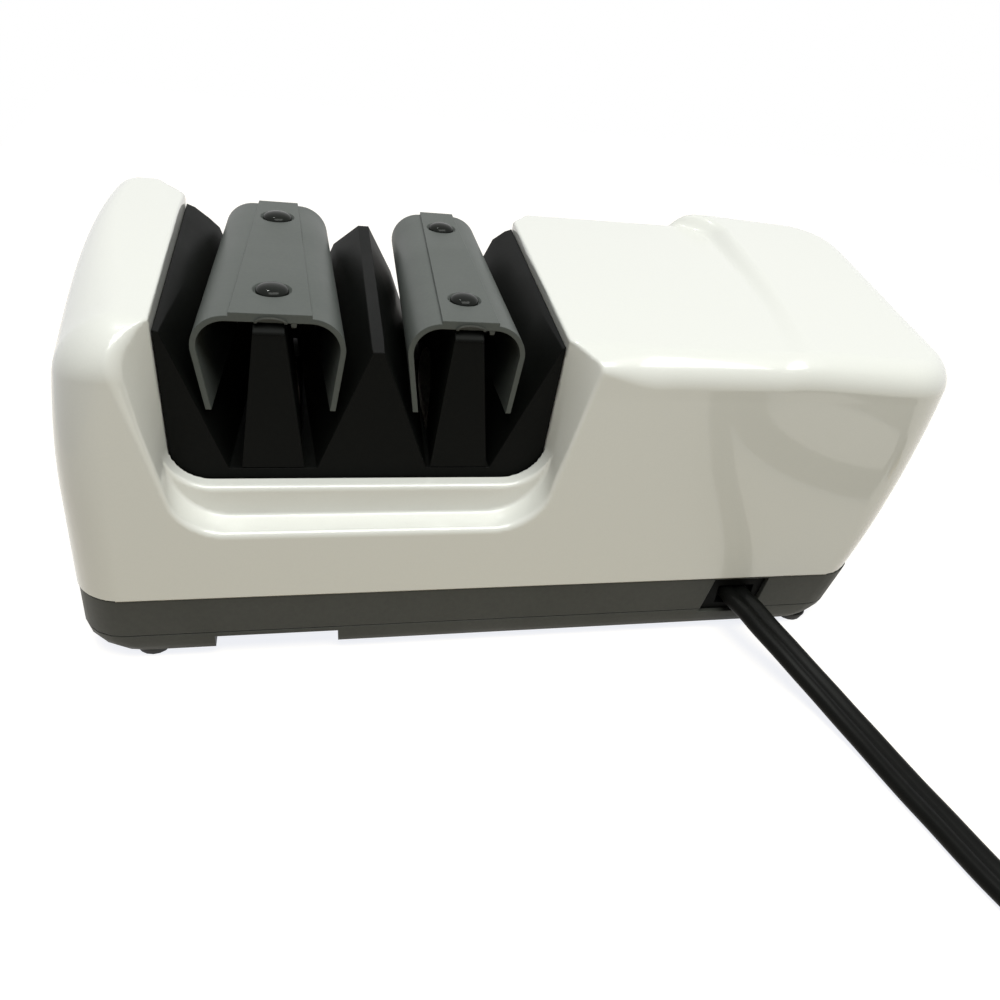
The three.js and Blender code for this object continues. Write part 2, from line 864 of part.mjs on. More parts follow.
function tilted(height, tilt, y) {
  return height + tilt * (y / insertHalf);
}

function faceX(face, y, z) {
  return mix(face.front, face.rear, (y / insertHalf + 1) / 2) + face.lean * (z - slotFloor);
}

// The insert's section: straight sides, walls that slope down to the slots, and the divider.
function insertSection(y) {
  const bottom = flangeBottom;
  const left = rimU.left + fit;
  const right = rimU.right - fit;
  const leftTop = tilted(insertTop, insertTopTilt, y);
  const rightTop = leftTop - insertRightDrop;
  const ridge = tilted(ridgeHeight, ridgeTilt, y);
  const leftX = sideLine(left, -rimU.leftLean, leftTop);
  const rightX = sideLine(right, rimU.rightLean, rightTop);
  const outline = [
    [sideLine(left, -rimU.leftLean, bottom), bottom],
    [sideLine(right, rimU.rightLean, bottom), bottom],
    [rightX, rightTop],
    ...wallRoof.map(({ inward, down }) => [rightX - inward, rightTop - down]),
    [ridgeHalf + ridgeRight.run, ridge - ridgeRight.drop],
    [ridgeHalf, ridge],
    [-ridgeHalf, ridge],
    [-ridgeHalf - ridgeLeft.run, ridge - ridgeLeft.drop],
    ...wallRoof.map(({ inward, down }) => [leftX + inward, leftTop - down]).reverse(),
    [leftX, leftTop],
  ];
  return { y, outline };
}

// The space between two faces above a floor, past both ends of the insert.
function slotPocket(leftFace, rightFace) {
  return alongY([-1, 1].map((end) => {
    const y = end * (insertHalf + overrun);
    const outline = [
      [faceX(leftFace, y, slotFloor), slotFloor],
      [faceX(rightFace, y, slotFloor), slotFloor],
      [faceX(rightFace, y, troughTop), troughTop],
      [faceX(leftFace, y, troughTop), troughTop],
    ];
    return { y, outline };
  }));
}

// A core under a wall or the divider, a wall's thickness inside its faces.
function core(leftAt, rightAt, top) {
  return alongY([-1, 1].map((end) => {
    const y = end * (insertHalf - insertWall);
    const bottom = flangeBottom - overrun;
    const outline = [
      [leftAt(y, slotFloor), bottom],
      [rightAt(y, slotFloor), bottom],
      [rightAt(y, slotFloor), slotFloor],
      [rightAt(y, top), top],
      [leftAt(y, top), top],
      [leftAt(y, slotFloor), slotFloor],
    ];
    return { y, outline };
  }));
}

const leftSideIn = (_, z) => sideLine(rimU.left + fit, -rimU.leftLean, z) + insertWall;
const rightSideIn = (_, z) => sideLine(rimU.right - fit, rimU.rightLean, z) - insertWall;
const inside = (face, way) => (y, z) => faceX(face, y, z) + way * insertWall;
const underFloor = slab(
  [rimU.left + insertWall, rimU.right - insertWall],
  [insertWall - insertHalf, insertHalf - insertWall],
  [flangeBottom - overrun, slotFloor - insertWall],
);
const stages = { left: leftStage, right: rightStage };
const discOpenings = Object.values(stages).map((x) => (
  rod(postArch, -discOpeningHalf, discOpeningHalf, roundSteps, 'x', [x, 0, shaftHeight])
));
const flange = slab(
  [rimU.left - flangeSide, rimU.right + flangeSide],
  [-flangeHalf, flangeHalf],
  [flangeBottom, flangeBottom + flangeHeight],
);
add('guide_insert', 'black', without(
  joined(alongY([insertSection(-insertHalf), insertSection(insertHalf)]), flange),
  slotPocket(leftWallFace, dividerLeftFace),
  slotPocket(dividerRightFace, rightWallFace),
  underFloor,
  core(leftSideIn, inside(leftWallFace, -1), wallCoreTop),
  core(inside(dividerLeftFace, 1), inside(dividerRightFace, -1), dividerCoreTop),
  core(inside(rightWallFace, 1), rightSideIn, wallCoreTop),
  ...discOpenings,
));

// Posts, guide springs and rivets

const postTop = springTop - springWall - fit;
const postBottom = slotFloor + fit;

function alongShare(ends, y) {
  return mix(ends.front, ends.rear, (y / insertHalf + 1) / 2);
}

function postSection(x, y, top) {
  const foot = alongShare(postFoot, y);
  const head = mix(foot, alongShare(postHead, y), (top - postBottom) / (postTop - postBottom));
  return { y, outline: [[x - foot, postBottom], [x + foot, postBottom], [x + head, top], [x - head, top]] };
}

// Half of the inverted U's outline, from its tip to the middle of its top, drawn in by an inset.
function springHalfOutline(form, y, inset) {
  const hip = alongShare(form.hip, y) - inset;
  const tip = alongShare(form.tip, y) - inset;
  const lean = Math.atan((hip - tip) / (springHip - springTip));
  const radius = shoulder - inset;
  const centreX = hip - radius / Math.cos(lean);
  const points = [[tip, springTip]];
  for (let i = 0; i <= cornerSteps; i += 1) {
    const angle = mix(-lean, Math.PI / 2, i / cornerSteps);
    points.push(arcPoint(centreX, springTop - shoulder, radius, angle));
  }
  return points;
}

function springSection(x, form, y) {
  const outer = springHalfOutline(form, y, 0);
  const inner = springHalfOutline(form, y, springWall);
  const mirrored = (points) => points.map(([px, pz]) => [-px, pz]).reverse();
  const outline = [...outer, ...mirrored(outer), ...mirrored(inner).reverse(), ...[...inner].reverse()];
  return { y, outline: outline.map(([px, pz]) => [x + px, pz]) };
}

function stripSection(x, half, y, bottom, top) {
  const reach = alongShare(half, y);
  return { y, outline: [[x - reach, bottom], [x + reach, bottom], [x + reach, top], [x - reach, top]] };
}

const rivetSeat = springTop + fit;
const rivetBottom = postTop - rivetDepth;
const rivetEnds = { front: -rivetAt, rear: rivetAt };
const guideForms = {
  left: { x: leftStage, spring: leftSpring, strip: leftStrip, rivet: leftRivet },
  right: { x: rightStage, spring: rightSpring, strip: rightStrip, rivet: rightRivet },
};
for (const [side, { x, spring, strip, rivet }] of Object.entries(guideForms)) {
  const holes = Object.values(rivetEnds).map((y) => (
    rod(rivetShank + fit, rivetBottom - fit, springTop + overrun, smallRoundSteps, 'z', [x, y, 0])
  ));
  const wideArch = rod(postArch, -postFoot.front - overrun, postFoot.front + overrun, roundSteps, 'x', [
    x, 0, shaftHeight,
  ]);
  const post = alongY([
    postSection(x, -insertHalf, postTop - postBevelDrop),
    postSection(x, postBevel - insertHalf, postTop),
    postSection(x, insertHalf, postTop),
  ]);
  add(`guide_post_${side}`, 'black', without(post, wideArch, ...holes));

  const seats = Object.values(rivetEnds).map((y) => (
    rod(rivet.rim + fit, springTop, springTop + overrun, smallRoundSteps, 'z', [x, y, 0])
  ));
  const leaf = joined(
    alongY([springSection(x, spring, -springHalf), springSection(x, spring, springHalf)]),
    alongY([-1, 1].map((end) => (
      stripSection(x, strip, end * springHalf, springTop - springWall / 2, springTop + stripProud)
    ))),
  );
  add(`guide_spring_${side}`, 'grey', without(leaf, ...seats, ...holes));

  for (const [end, y] of Object.entries(rivetEnds)) {
    const rimTop = rivetSeat + rivetRim;
    add(`rivet_${side}_${end}`, 'gloss', turned([
      [0, rivetBottom],
      [rivetShank, rivetBottom],
      [rivetShank, rivetSeat],
      [rivet.rim, rivetSeat],
      [rivet.rim, rimTop],
      [rivet.head, rimTop],
      [rivet.head * domeMidShare.radius, rimTop + rivetDome * domeMidShare.height],
      [rivet.head * domeTopShare.radius, rimTop + rivetDome * domeTopShare.height],
      [0, rimTop + rivetDome],
    ], smallRoundSteps, 'z', [x, y, 0]));
  }
}

// Base

function baseRight(z) {
  return mix(baseRightTop, baseRightLow, (frameTop - z) / (frameTop - baseRightLowAt));
}

function baseLevel(z, inset) {
  return {
    z,
    left: inset - baseLeft,
    right: baseRight(z) - inset,
    half: baseHalf - inset,
    corner: baseCorner - inset,
  };
}

const deckBottom = deckTop - deckThick;
const footPlaces = {
  front_left: [footAt.left, -footAt.side],
  front_right: [footAt.right, -footAt.side],
  rear_left: [footAt.left, footAt.side],
  rear_right: [footAt.right, footAt.side],
};
const bushingOutline = (grow) => [
  [bushingLeft - grow, bushingLow - grow],
  [bushingRightLow + grow, bushingLow - grow],
  [bushingRight + grow, bushingHigh + grow],
  [bushingTopLeft - grow, bushingHigh + grow],
];
const bushingFront = bushingRecess - baseHalf;
const bushingBack = bushingFront + bushingPlate;
const bushingBodyRange = {
  x: [bushingTopLeft + bushingBodyInset, bushingRightLow - bushingBodyInset],
  z: [frameBottom + fit, bushingHigh - bushingBodyInset],
};
function bushingSpace(clearance, front) {
  const { x, z } = bushingBodyRange;
  return joined(
    alongY([
      { y: front, outline: bushingOutline(clearance) },
      { y: bushingBack + clearance, outline: bushingOutline(clearance) },
    ]),
    slab(
      [x[0] - clearance, x[1] + clearance],
      [bushingBack - bushingPlate / 2, bushingBack + bushingBody + clearance],
      [z[0] - clearance, z[1] + clearance],
    ),
  );
}
const bushingHole = bushingSpace(fit, -baseHalf - overrun);
const cordSocket = slab(
  [cordExitX - cordWidth / 2 - socketPlay, cordExitX + cordWidth / 2 + socketPlay],
  [bushingFront - overrun, bushingFront + socketDepth],
  [cordExitZ - cordThick / 2 - socketPlay, cordExitZ + cordThick / 2 + socketPlay],
);
add('cord_bushing', 'black', without(bushingSpace(0, bushingFront), cordSocket));
const dustWindow = slab(
  [leftStage - dustHalf, leftStage + dustHalf],
  [-dustDepth, dustDepth],
  [footHeight + notchHeight - overrun, deckTop + overrun],
);
const vents = Array.from({ length: ventCount }, (_, i) => {
  const x = ventAt + i * ventPitch;
  return slab([x - ventWidth / 2, x + ventWidth / 2], [-ventHalf, ventHalf], [0, deckTop + overrun]);
});
const frameUpper = plate([baseLevel(deckTop, baseWall), baseLevel(frameTop + overrun, baseWall)]);
const frameLower = plate([baseLevel(frameBottom - overrun, baseWall), baseLevel(deckBottom, baseWall)]);
add('base_frame', 'charcoal', without(
  plate([baseLevel(frameBottom, 0), baseLevel(frameTop, 0)]),
  frameUpper,
  frameLower,
  bushingHole,
  dustWindow,
  ...vents,
  ...screwHoles,
));

const coverOuter = plate([
  ...coverRound.map(({ up, end, side }) => {
    const level = baseLevel(footHeight + up, 0);
    return { ...level, left: level.left + end, right: level.right - end, half: level.half - side };
  }),
  baseLevel(coverTop, 0),
]);
const coverFloor = footHeight + coverThick;
const pillars = [
  ...screwPlaces.map(([x, y]) => rod(bossRadius, 0, coverTop, smallRoundSteps, 'z', [x, y, 0])),
  ...Object.values(footPlaces).map(([x, y]) => (
    rod(bossRadius, 0, coverTop, smallRoundSteps, 'z', [x, y, 0])
  )),
];
const pocketInset = baseWall + coverRound[0].end / 2;
const coverInside = plate([
  { ...baseLevel(coverFloor, pocketInset), corner: baseCorner - baseWall },
  { ...baseLevel(coverTop + overrun, pocketInset), corner: baseCorner - baseWall },
]);
const trayHousing = slab(
  [notchLeft - trayRail - baseWall, notchRight + trayRail + baseWall],
  [-baseHalf, trayBack + fit + baseWall],
  [0, coverTop],
);
const notchTop = footHeight + notchHeight;
const notch = slab([notchLeft, notchRight], [-baseHalf - overrun, trayBack + fit], [0, notchTop]);
const trayBottom = footHeight + fit;
const railBottom = trayBottom + trayRailUp;
const grooves = slab(
  [notchLeft - trayRail, notchRight + trayRail],
  [-trayTravel - fit, trayBack + fit],
  [railBottom - fit, railBottom + trayRailHeight + fit],
);
const footHoles = Object.values(footPlaces).map(([x, y]) => (
  rod(footStem + fit, 0, footHeight + footStemHeight + fit, smallRoundSteps, 'z', [x, y, 0])
));
const headHoles = screwPlaces.map(([x, y]) => (
  rod(screwHead + fit, 0, footHeight + screwSink, smallRoundSteps, 'z', [x, y, 0])
));
add('bottom_cover', 'charcoal', without(
  coverOuter,
  without(coverInside, trayHousing, ...pillars),
  notch,
  grooves,
  dustWindow,
  bushingHole,
  ...vents,
  ...footHoles,
  ...headHoles,
  ...screwHoles,
));

add('cleanout_tray', 'charcoal', without(
  joined(
    slab([notchLeft + fit, notchRight - fit], [-trayFront, trayBack], [trayBottom, trayBottom + trayThick]),
    slab(
      [notchLeft - trayRail + fit, notchRight + trayRail - fit],
      [0, trayBack],
      [railBottom, railBottom + trayRailHeight],
    ),
  ),
  slab(
    [notchLeft + fit + trayWall, notchRight - fit - trayWall],
    [trayWall - trayFront, trayBack - trayWall],
    [trayBottom + trayWall, trayBottom + trayThick + overrun],
  ),
));

for (const [place, [x, y]] of Object.entries(footPlaces)) {
  add(`foot_${place}`, 'rubber', turned([
    [0, 0],
    [footRadius - footTaper, 0],
    [footRadius, footHeight - fit - footTaper],
    [footRadius, footHeight - fit],
    [footStem, footHeight - fit],
    [footStem, footHeight + footStemHeight],
    [0, footHeight + footStemHeight],
  ], smallRoundSteps, 'z', [x, y, 0]));
}

const screwNames = ['front_left', 'front_right', 'rear_left', 'rear_right'];
screwPlaces.forEach(([x, y], i) => {
  const headBottom = footHeight + screwSink - fit - screwHeadHeight;
  add(`housing_screw_${screwNames[i]}`, 'steel', turned([
    [0, headBottom],
    [screwHead, headBottom],
    [screwHead, headBottom + screwHeadHeight],
    [screwRadius, headBottom + screwHeadHeight],
    [screwRadius, screwTop],
    [0, screwTop],
  ], smallRoundSteps, 'z', [x, y, 0]));
});

// Shaft, discs and motor

const axis = [0, 0, shaftHeight];
add('motor_shaft', 'steel', rod(shaftRadius, shaftLeft, shaftRight, smallRoundSteps, 'x', axis));

// A ring turned about the shaft; the profile closes on itself round the bore.
function ring(profile, steps, x) {
  return turned([...profile, profile[0]], steps, 'x', [x, 0, shaftHeight]);
}

const boreRadius = shaftRadius + fit;
const coneSlope = (discFace - discRim) / discRadius;
Object.entries(stages).forEach(([side, x]) => {
  for (const way of [-1, 1]) {
    const name = way < 0 ? 'outer' : 'inner';
    add(`disc_${side}_${name}`, 'abrasive', ring([
      [boreRadius, way * discBack],
      [discRadius, way * discBack],
      [discRadius, way * discRim],
      [discHub, way * (discFace - coneSlope * discHub)],
      [discHub, way * discFace],
      [boreRadius, way * discFace],
    ], roundSteps, x));
  }
  add(`disc_spring_${side}`, 'steel', discSpring(x));
});

const statorRight = statorLeft + statorLength;
const motorScrewPlaces = { front: -motorScrewSide, rear: motorScrewSide };
const bracketLeft = statorLeft - bracketStand;
const bracketRight = statorRight + bracketStand;
const motorScrewHoles = Object.values(motorScrewPlaces).map((y) => (
  rod(motorScrewRadius + fit, bracketLeft - overrun, bracketRight + overrun, smallRoundSteps, 'x', [
    0, y, motorScrewHeight,
  ])
));

add('stator_core', 'iron', without(
  slab([statorLeft, statorRight], [-statorHalf, statorHalf], [statorBottom, statorTop]),
  rod(statorBore, statorLeft - overrun, statorRight + overrun, roundSteps, 'x', axis),
  slab([statorLeft - overrun, statorRight + overrun], [-windowHalf, windowHalf], [windowBottom, windowTop]),
  ...motorScrewHoles,
));
add('field_coil', 'copper', without(
  slab(
    [statorLeft - coilOverhang, statorRight + coilOverhang],
    [-coilHalf, coilHalf],
    [windowBottom + fit, statorTop + coilOver],
  ),
  slab(
    [statorLeft - fit, statorRight + fit],
    [-coilHalf - overrun, coilHalf + overrun],
    [windowTop - fit, statorTop + fit],
  ),
));
add('rotor_core', 'iron', ring([
  [boreRadius, statorLeft - rotorOverhang],
  [rotorRadius, statorLeft - rotorOverhang],
  [rotorRadius, statorRight + rotorOverhang],
  [boreRadius, statorRight + rotorOverhang],
], roundSteps, 0));

// End brackets: a plate on the deck with a bearing seat and two standoffs to the stack.
function motorBracket(outer, inner) {
  const [low, high] = [Math.min(outer, inner), Math.max(outer, inner)];
  const plateRange = outer < inner ? [outer - bracketThick, outer] : [outer, outer + bracketThick];
  const standoffs = Object.values(motorScrewPlaces).map((y) => (
    rod(standoffRadius, low, high, smallRoundSteps, 'x', [0, y, motorScrewHeight])
  ));
  return without(
    joined(
      slab(plateRange, [-bracketHalf, bracketHalf], [deckTop + fit, bracketTop]),
      ...standoffs,
    ),
    rod(bearingRadius + fit, plateRange[0] - overrun, plateRange[1] + overrun, smallRoundSteps, 'x', axis),
    ...motorScrewHoles,
  );
}
add('motor_bracket_left', 'iron', motorBracket(bracketLeft, statorLeft - fit));
add('motor_bracket_right', 'iron', motorBracket(bracketRight, statorRight + fit));

function bearing(middle) {
  return ring([
    [boreRadius, middle - bearingLength / 2],
    [bearingRadius, middle - bearingLength / 2],
    [bearingRadius, middle + bearingLength / 2],
    [boreRadius, middle + bearingLength / 2],
  ], smallRoundSteps, 0);
}
add('motor_bearing_left', 'brass', bearing(bracketLeft - bracketThick / 2));
add('motor_bearing_right', 'brass', bearing(bracketRight + bracketThick / 2));

const shaftBracketMiddle = shaftBracketLeft + shaftBracketThick / 2;
add('shaft_bracket', 'iron', without(
  slab(
    [shaftBracketLeft, shaftBracketLeft + shaftBracketThick],
    [-shaftBracketHalf, shaftBracketHalf],
    [deckTop + fit, shaftBracketTop],
  ),
  rod(bearingRadius + fit, shaftBracketLeft - overrun, shaftBracketLeft + shaftBracketThick + overrun,
    smallRoundSteps, 'x', axis),
));
add('shaft_bearing', 'brass', bearing(shaftBracketMiddle));

for (const [place, y] of Object.entries(motorScrewPlaces)) {
  const start = bracketLeft - bracketThick - fit;
  add(`motor_screw_${place}`, 'steel', turned([
    [0, start - motorScrewHeadHeight],
    [motorScrewHead, start - motorScrewHeadHeight],
    [motorScrewHead, start],
    [motorScrewRadius, start],
    [motorScrewRadius, bracketRight + bracketThick],
    [0, bracketRight + bracketThick],
  ], smallRoundSteps, 'x', [0, y, motorScrewHeight]));
}

const fanPlateForm = ring([
  [boreRadius, fanLeft],
  [fanRadius, fanLeft],
  [fanRadius, fanLeft + fanPlate],
  [fanHub, fanLeft + fanPlate],
  [fanHub, fanLeft + fanLength],
  [boreRadius, fanLeft + fanLength],
], roundSteps, 0);
const blades = Array.from({ length: fanBlades }, (_, i) => {
  const geometry = new THREE.BoxGeometry(fanLength - fanPlate / 2, fanRadius - fanHub, fanBladeThick);
  geometry.translate(fanLeft + (fanLength + fanPlate / 2) / 2, (fanRadius + fanHub) / 2 - fanPlate / 2, 0);
  geometry.rotateX((2 * Math.PI * i) / fanBlades).translate(0, 0, shaftHeight);
  return solid(geometry);
});
add('cooling_fan', 'grey', joined(fanPlateForm, ...blades));

// Switch

add('switch_body', 'black', without(
  joined(
    slab(centred(switchAt, bezelWidth), [bezelBack, bezelFront], centred(switchHeight, bezelHeight)),
    slab(
      centred(switchAt, switchWidth),
      [rearFace - switchDepth, bezelFront],
      centred(switchHeight, switchTall),
    ),
  ),
  slab(
    centred(switchAt, switchWellWidth),
    [bezelFront - switchWellDepth, bezelFront + overrun],
    centred(switchHeight, switchWellTall),
  ),
));

// The rocker's plan outline about its pivot, resting with one side pressed in.
const rockerOutline = [
  [-rockerHalf, -rockerWaist],
  [0, -rockerBelly],
  [rockerHalf, -rockerWaist],
  [rockerHalf, rockerRise],
  [0, rockerWaist],
  [-rockerHalf, rockerRise],
];
const rockerShape = new THREE.Shape(rockerOutline.map(([x, y]) => new THREE.Vector2(x, y)));
const rockerForm = new THREE.ExtrudeGeometry(rockerShape, { depth: rockerTall, bevelEnabled: false });
rockerForm.translate(0, 0, -rockerTall / 2);
const rocker = add('switch_rocker', 'gloss', solid(rockerForm));
rocker.position.set(switchAt, bezelFront - rockerWaist, switchHeight);
rocker.rotation.z = THREE.MathUtils.degToRad(-rockerTilt);

// Cord, wound rest and plug

const cordStart = new THREE.Vector3(cordExitX, bushingFront + socketDepth - cordSeat, 0);
const cordRoute = [
  [0, 0, 14.35], [0.1, -1.6, 14.35], [1.2, -5.2, 14.15], [3, -9.4, 13.7], [5.3, -15.4, 12.6],
  [9.4, -23.4, 10.5], [13.5, -31.4, 8.2], [17.6, -39.4, 6], [21, -47.4, 4.4], [24, -55.4, 3.35],
  [26.4, -63.4, 2.8], [29.1, -73.4, 2.55], [31.9, -83.4, 2.55], [34.5, -93.4, 2.55],
  [36.8, -101.4, 2.55], [43.1, -119.5, 2.55], [49.8, -139.2, 2.55],
].map((point) => new THREE.Vector3(...point).add(cordStart));

// Keeps the flat cord's wide side level along its whole way.
function levelFrames(path, steps) {
  const frames = { tangents: [], normals: [], binormals: [] };
  for (let i = 0; i <= steps; i += 1) {
    const tangent = path.getTangentAt(i / steps);
    const side = new THREE.Vector3(-tangent.y, tangent.x, 0).normalize();
    frames.tangents.push(tangent);
    frames.normals.push(side);
    frames.binormals.push(tangent.clone().cross(side));
  }
  return frames;
}

class LevelRoute extends THREE.CatmullRomCurve3 {
  computeFrenetFrames(steps) {
    return levelFrames(this, steps);
  }
}

const lobe = (way) => cordLobeTurns.map((turn) => {
  const angle = THREE.MathUtils.degToRad(way < 0 ? turn + 180 : turn);
  return arcPoint(way * (cordWidth - cordThick) / 2, 0, cordThick / 2, angle);
});
const cordOutline = [...lobe(1), [0, cordGroove], ...lobe(-1), [0, -cordGroove]];
const centripetal = 'centripetal';
add('cord', 'cord', tube(cordOutline, new LevelRoute(cordRoute, false, centripetal), cordSteps));

// The rest lies wound on the surface: in along the lower layer, up, out again along the upper one,
// and down to the middle of the plug, which lies beside it.
const plugMiddle = plugRest + Math.max(...plugSections.map(({ tall }) => tall));
class Wound extends THREE.Curve {
  constructor(start, heading) {
    super();
    const left = new THREE.Vector3(-heading.y, heading.x, 0);
    this.centre = start.clone().addScaledVector(heading, coilLead).addScaledVector(left, coilOuter);
    this.first = Math.atan2(-left.y, -left.x);
    this.turns = 2 * coilTurns + 1 / 2;
    this.wound = this.turns * 2 * Math.PI * (coilOuter - coilPitch * coilTurns / 2);
    this.fall = this.at(this.turns).z - plugMiddle;
  }

  // Radius and height after so many turns
  at(turns) {
    const up = Math.min(Math.max(turns - coilTurns, 0), 1 / 2) * 2;
    const outward = turns < coilTurns ? turns : this.turns - turns;
    const radius = coilOuter - coilPitch * Math.min(outward, coilTurns);
    const angle = this.first + 2 * Math.PI * turns;
    return new THREE.Vector3(
      this.centre.x + radius * Math.cos(angle),
      this.centre.y + radius * Math.sin(angle),
      cordThick / 2 + floorGap + coilLift * up,
    );
  }

  getPoint(t, target = new THREE.Vector3()) {
    const way = t * (coilLead + this.wound + coilTail) - coilLead;
    const within = Math.min(Math.max(way / this.wound, 0), 1) * this.turns;
    const point = this.at(within);
    const past = way - within / this.turns * this.wound;
    const angle = this.first + 2 * Math.PI * within;
    point.x -= past * Math.sin(angle);
    point.y += past * Math.cos(angle);
    point.z -= this.fall * smooth(past / coilTail);
    return target.copy(point);
  }

  computeFrenetFrames(steps) {
    return levelFrames(this, steps);
  }
}

const cordEnd = cordRoute.at(-1);
const cordHeading = cordEnd.clone().sub(cordRoute.at(-2)).setZ(0).normalize();
const wound = new Wound(cordEnd.clone().addScaledVector(cordHeading, fit), cordHeading);
const coilOutline = [
  [cordWidth / 2, 0],
  [coilSection.flat, coilSection.tall],
  [-coilSection.flat, coilSection.tall],
  [-cordWidth / 2, 0],
  [-coilSection.flat, -coilSection.tall],
  [coilSection.flat, -coilSection.tall],
];
const coilSteps = Math.round(wound.turns * coilStepsPerTurn);
add('cord_coil', 'cord', tube(coilOutline, wound, coilSteps));

// Least distance between outline points of the coil that lie half a turn or more apart
function leastGap() {
  const frames = levelFrames(wound, coilSteps);
  const sections = frames.tangents.map((_, i) => {
    const middle = wound.getPointAt(i / coilSteps);
    return coilOutline.map(([u, v]) => middle.clone()
      .addScaledVector(frames.normals[i], u)
      .addScaledVector(frames.binormals[i], v));
  });
  let least = Infinity;
  sections.forEach((section, i) => {
    for (const other of sections.slice(i + coilStepsPerTurn / 2)) {
      for (const a of section) {
        for (const b of other) {
          least = Math.min(least, a.distanceTo(b));
        }
      }
    }
  });
  return least;
}
console.log(`least gap of the wound cord to itself: ${leastGap().toFixed(2)} mm`);

const plug = new THREE.Group();
const plugHeading = wound.getTangentAt(1).setZ(0).normalize();
plug.position.copy(wound.getPointAt(1)).addScaledVector(plugHeading, fit);
plug.rotation.z = Math.atan2(-plugHeading.x, plugHeading.y);
product.add(plug);

function chamfered(half, tall) {
  return [
    [half, plugChamfer - tall], [half, tall - plugChamfer],
    [half - plugChamfer, tall], [plugChamfer - half, tall],
    [-half, tall - plugChamfer], [-half, plugChamfer - tall],
    [plugChamfer - half, -tall], [half - plugChamfer, -tall],
  ];
}
const plugForm = alongY(plugSections.map(({ at, half, tall }) => (
  { y: at, outline: chamfered(half, tall) }
)));
const plugFace = plugSections.at(-1).at;
const bladePlaces = [-bladeSpacing / 2, bladeSpacing / 2];
const bladeSlots = bladePlaces.map((x) => slab(
  centred(x, bladeThick + 2 * fit),
  [plugFace - bladeSeat - fit, plugFace + overrun],
  centred(0, bladeWide + 2 * fit),
));
add('plug_body', 'cord', without(plugForm, ...bladeSlots), plug);
bladePlaces.forEach((x, i) => {
  const blade = slab(
    centred(x, bladeThick),
    [plugFace - bladeSeat, plugFace + bladeLength],
    centred(0, bladeWide),
  );
  add(`plug_blade_${i + 1}`, 'brass', blade, plug);
});

export default product;
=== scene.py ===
"""Electric two-stage knife sharpener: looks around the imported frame. Metres, +Z up, the user at -Y."""

import json
import math

import bpy
import numpy as np
from mathutils import Matrix, Quaternion, Vector


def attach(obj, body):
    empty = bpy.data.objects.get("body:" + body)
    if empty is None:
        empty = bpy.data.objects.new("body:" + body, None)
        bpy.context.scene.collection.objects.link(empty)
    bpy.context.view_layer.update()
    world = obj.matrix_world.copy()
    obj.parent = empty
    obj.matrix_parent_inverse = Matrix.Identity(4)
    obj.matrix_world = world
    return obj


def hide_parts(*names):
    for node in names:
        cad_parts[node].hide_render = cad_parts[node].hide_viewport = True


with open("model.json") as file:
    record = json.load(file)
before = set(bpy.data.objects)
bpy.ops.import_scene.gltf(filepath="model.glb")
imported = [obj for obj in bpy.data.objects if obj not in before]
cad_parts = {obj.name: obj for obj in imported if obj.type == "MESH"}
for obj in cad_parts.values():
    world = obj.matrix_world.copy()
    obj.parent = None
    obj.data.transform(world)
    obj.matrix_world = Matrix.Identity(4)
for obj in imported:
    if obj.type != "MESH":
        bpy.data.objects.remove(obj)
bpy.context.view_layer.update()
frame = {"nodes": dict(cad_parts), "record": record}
nodes = frame["nodes"]
MM = 0.001
# Lengths in mm are counted from the middle of the divider, which stands at this X of the frame
DIVIDER = -47.0


def mix(low, high, share):
    return low + (high - low) * share


def smooth(share):
    """A soft step from 0 to 1."""
    share = np.clip(share, 0, 1)
    return share * share * (3 - 2 * share)


def place(x, y, z):
    """A point in mm from the divider, as metres of the frame."""
    return Vector(((x + DIVIDER) * MM, y * MM, z * MM))


# Camera, at the photograph's viewing angle
camera_data = bpy.data.cameras.new("camera")
camera = bpy.data.objects.new("camera", camera_data)
bpy.context.scene.collection.objects.link(camera)
right = Vector((0.96113, -0.23222, 0.14934))
down = Vector((-0.00997, -0.56973, -0.82177))
forward = Vector((0.27592, 0.78834, -0.5499))
turn = Matrix((right, -down, -forward)).transposed().to_4x4()
camera.matrix_world = Matrix.Translation(Vector((-0.06341, -0.25962, 0.19992))) @ turn
camera_data.sensor_width = 36
camera_data.lens = 33.569
camera_data.shift_x = -0.08079
camera_data.shift_y = -0.0098
camera_data.clip_start = 0.01
bpy.context.scene.camera = camera
bpy.context.scene.view_settings.view_transform = "Standard"


# Stage: a white room around a pale floor that keeps the object's shadow
def link(tree, output, target):
    tree.links.new(output, target)


def by_ray(tree, seen, lit):
    """A value that is seen where the camera, a mirror or glass looks, and lit for all other light."""
    path = tree.nodes.new("ShaderNodeLightPath")
    first = tree.nodes.new("ShaderNodeMath")
    first.operation = "MAXIMUM"
    link(tree, path.outputs["Is Camera Ray"], first.inputs[0])
    link(tree, path.outputs["Is Transmission Ray"], first.inputs[1])
    second = tree.nodes.new("ShaderNodeMath")
    second.operation = "MAXIMUM"
    link(tree, first.outputs[0], second.inputs[0])
    link(tree, path.outputs["Is Glossy Ray"], second.inputs[1])
    mixed = tree.nodes.new("ShaderNodeMix")
    link(tree, second.outputs[0], mixed.inputs["Factor"])
    mixed.inputs["A"].default_value = lit
    mixed.inputs["B"].default_value = seen
    return mixed.outputs["Result"]


WHITE = 1.0
ROOM_LIGHT = 0.13
FLOOR_TINT = (0.38, 0.32, 0.21, 1)
FLOOR_GLOW = (0.885, 0.902, 0.95, 1)
FLOOR_GLOW_STRENGTH = 0.94

world = bpy.data.worlds.new("studio")
bpy.context.scene.world = world
world.use_nodes = True
background = world.node_tree.nodes["Background"]
background.inputs["Color"].default_value = (1, 1, 1, 1)
link(world.node_tree, by_ray(world.node_tree, WHITE, ROOM_LIGHT), background.inputs["Strength"])


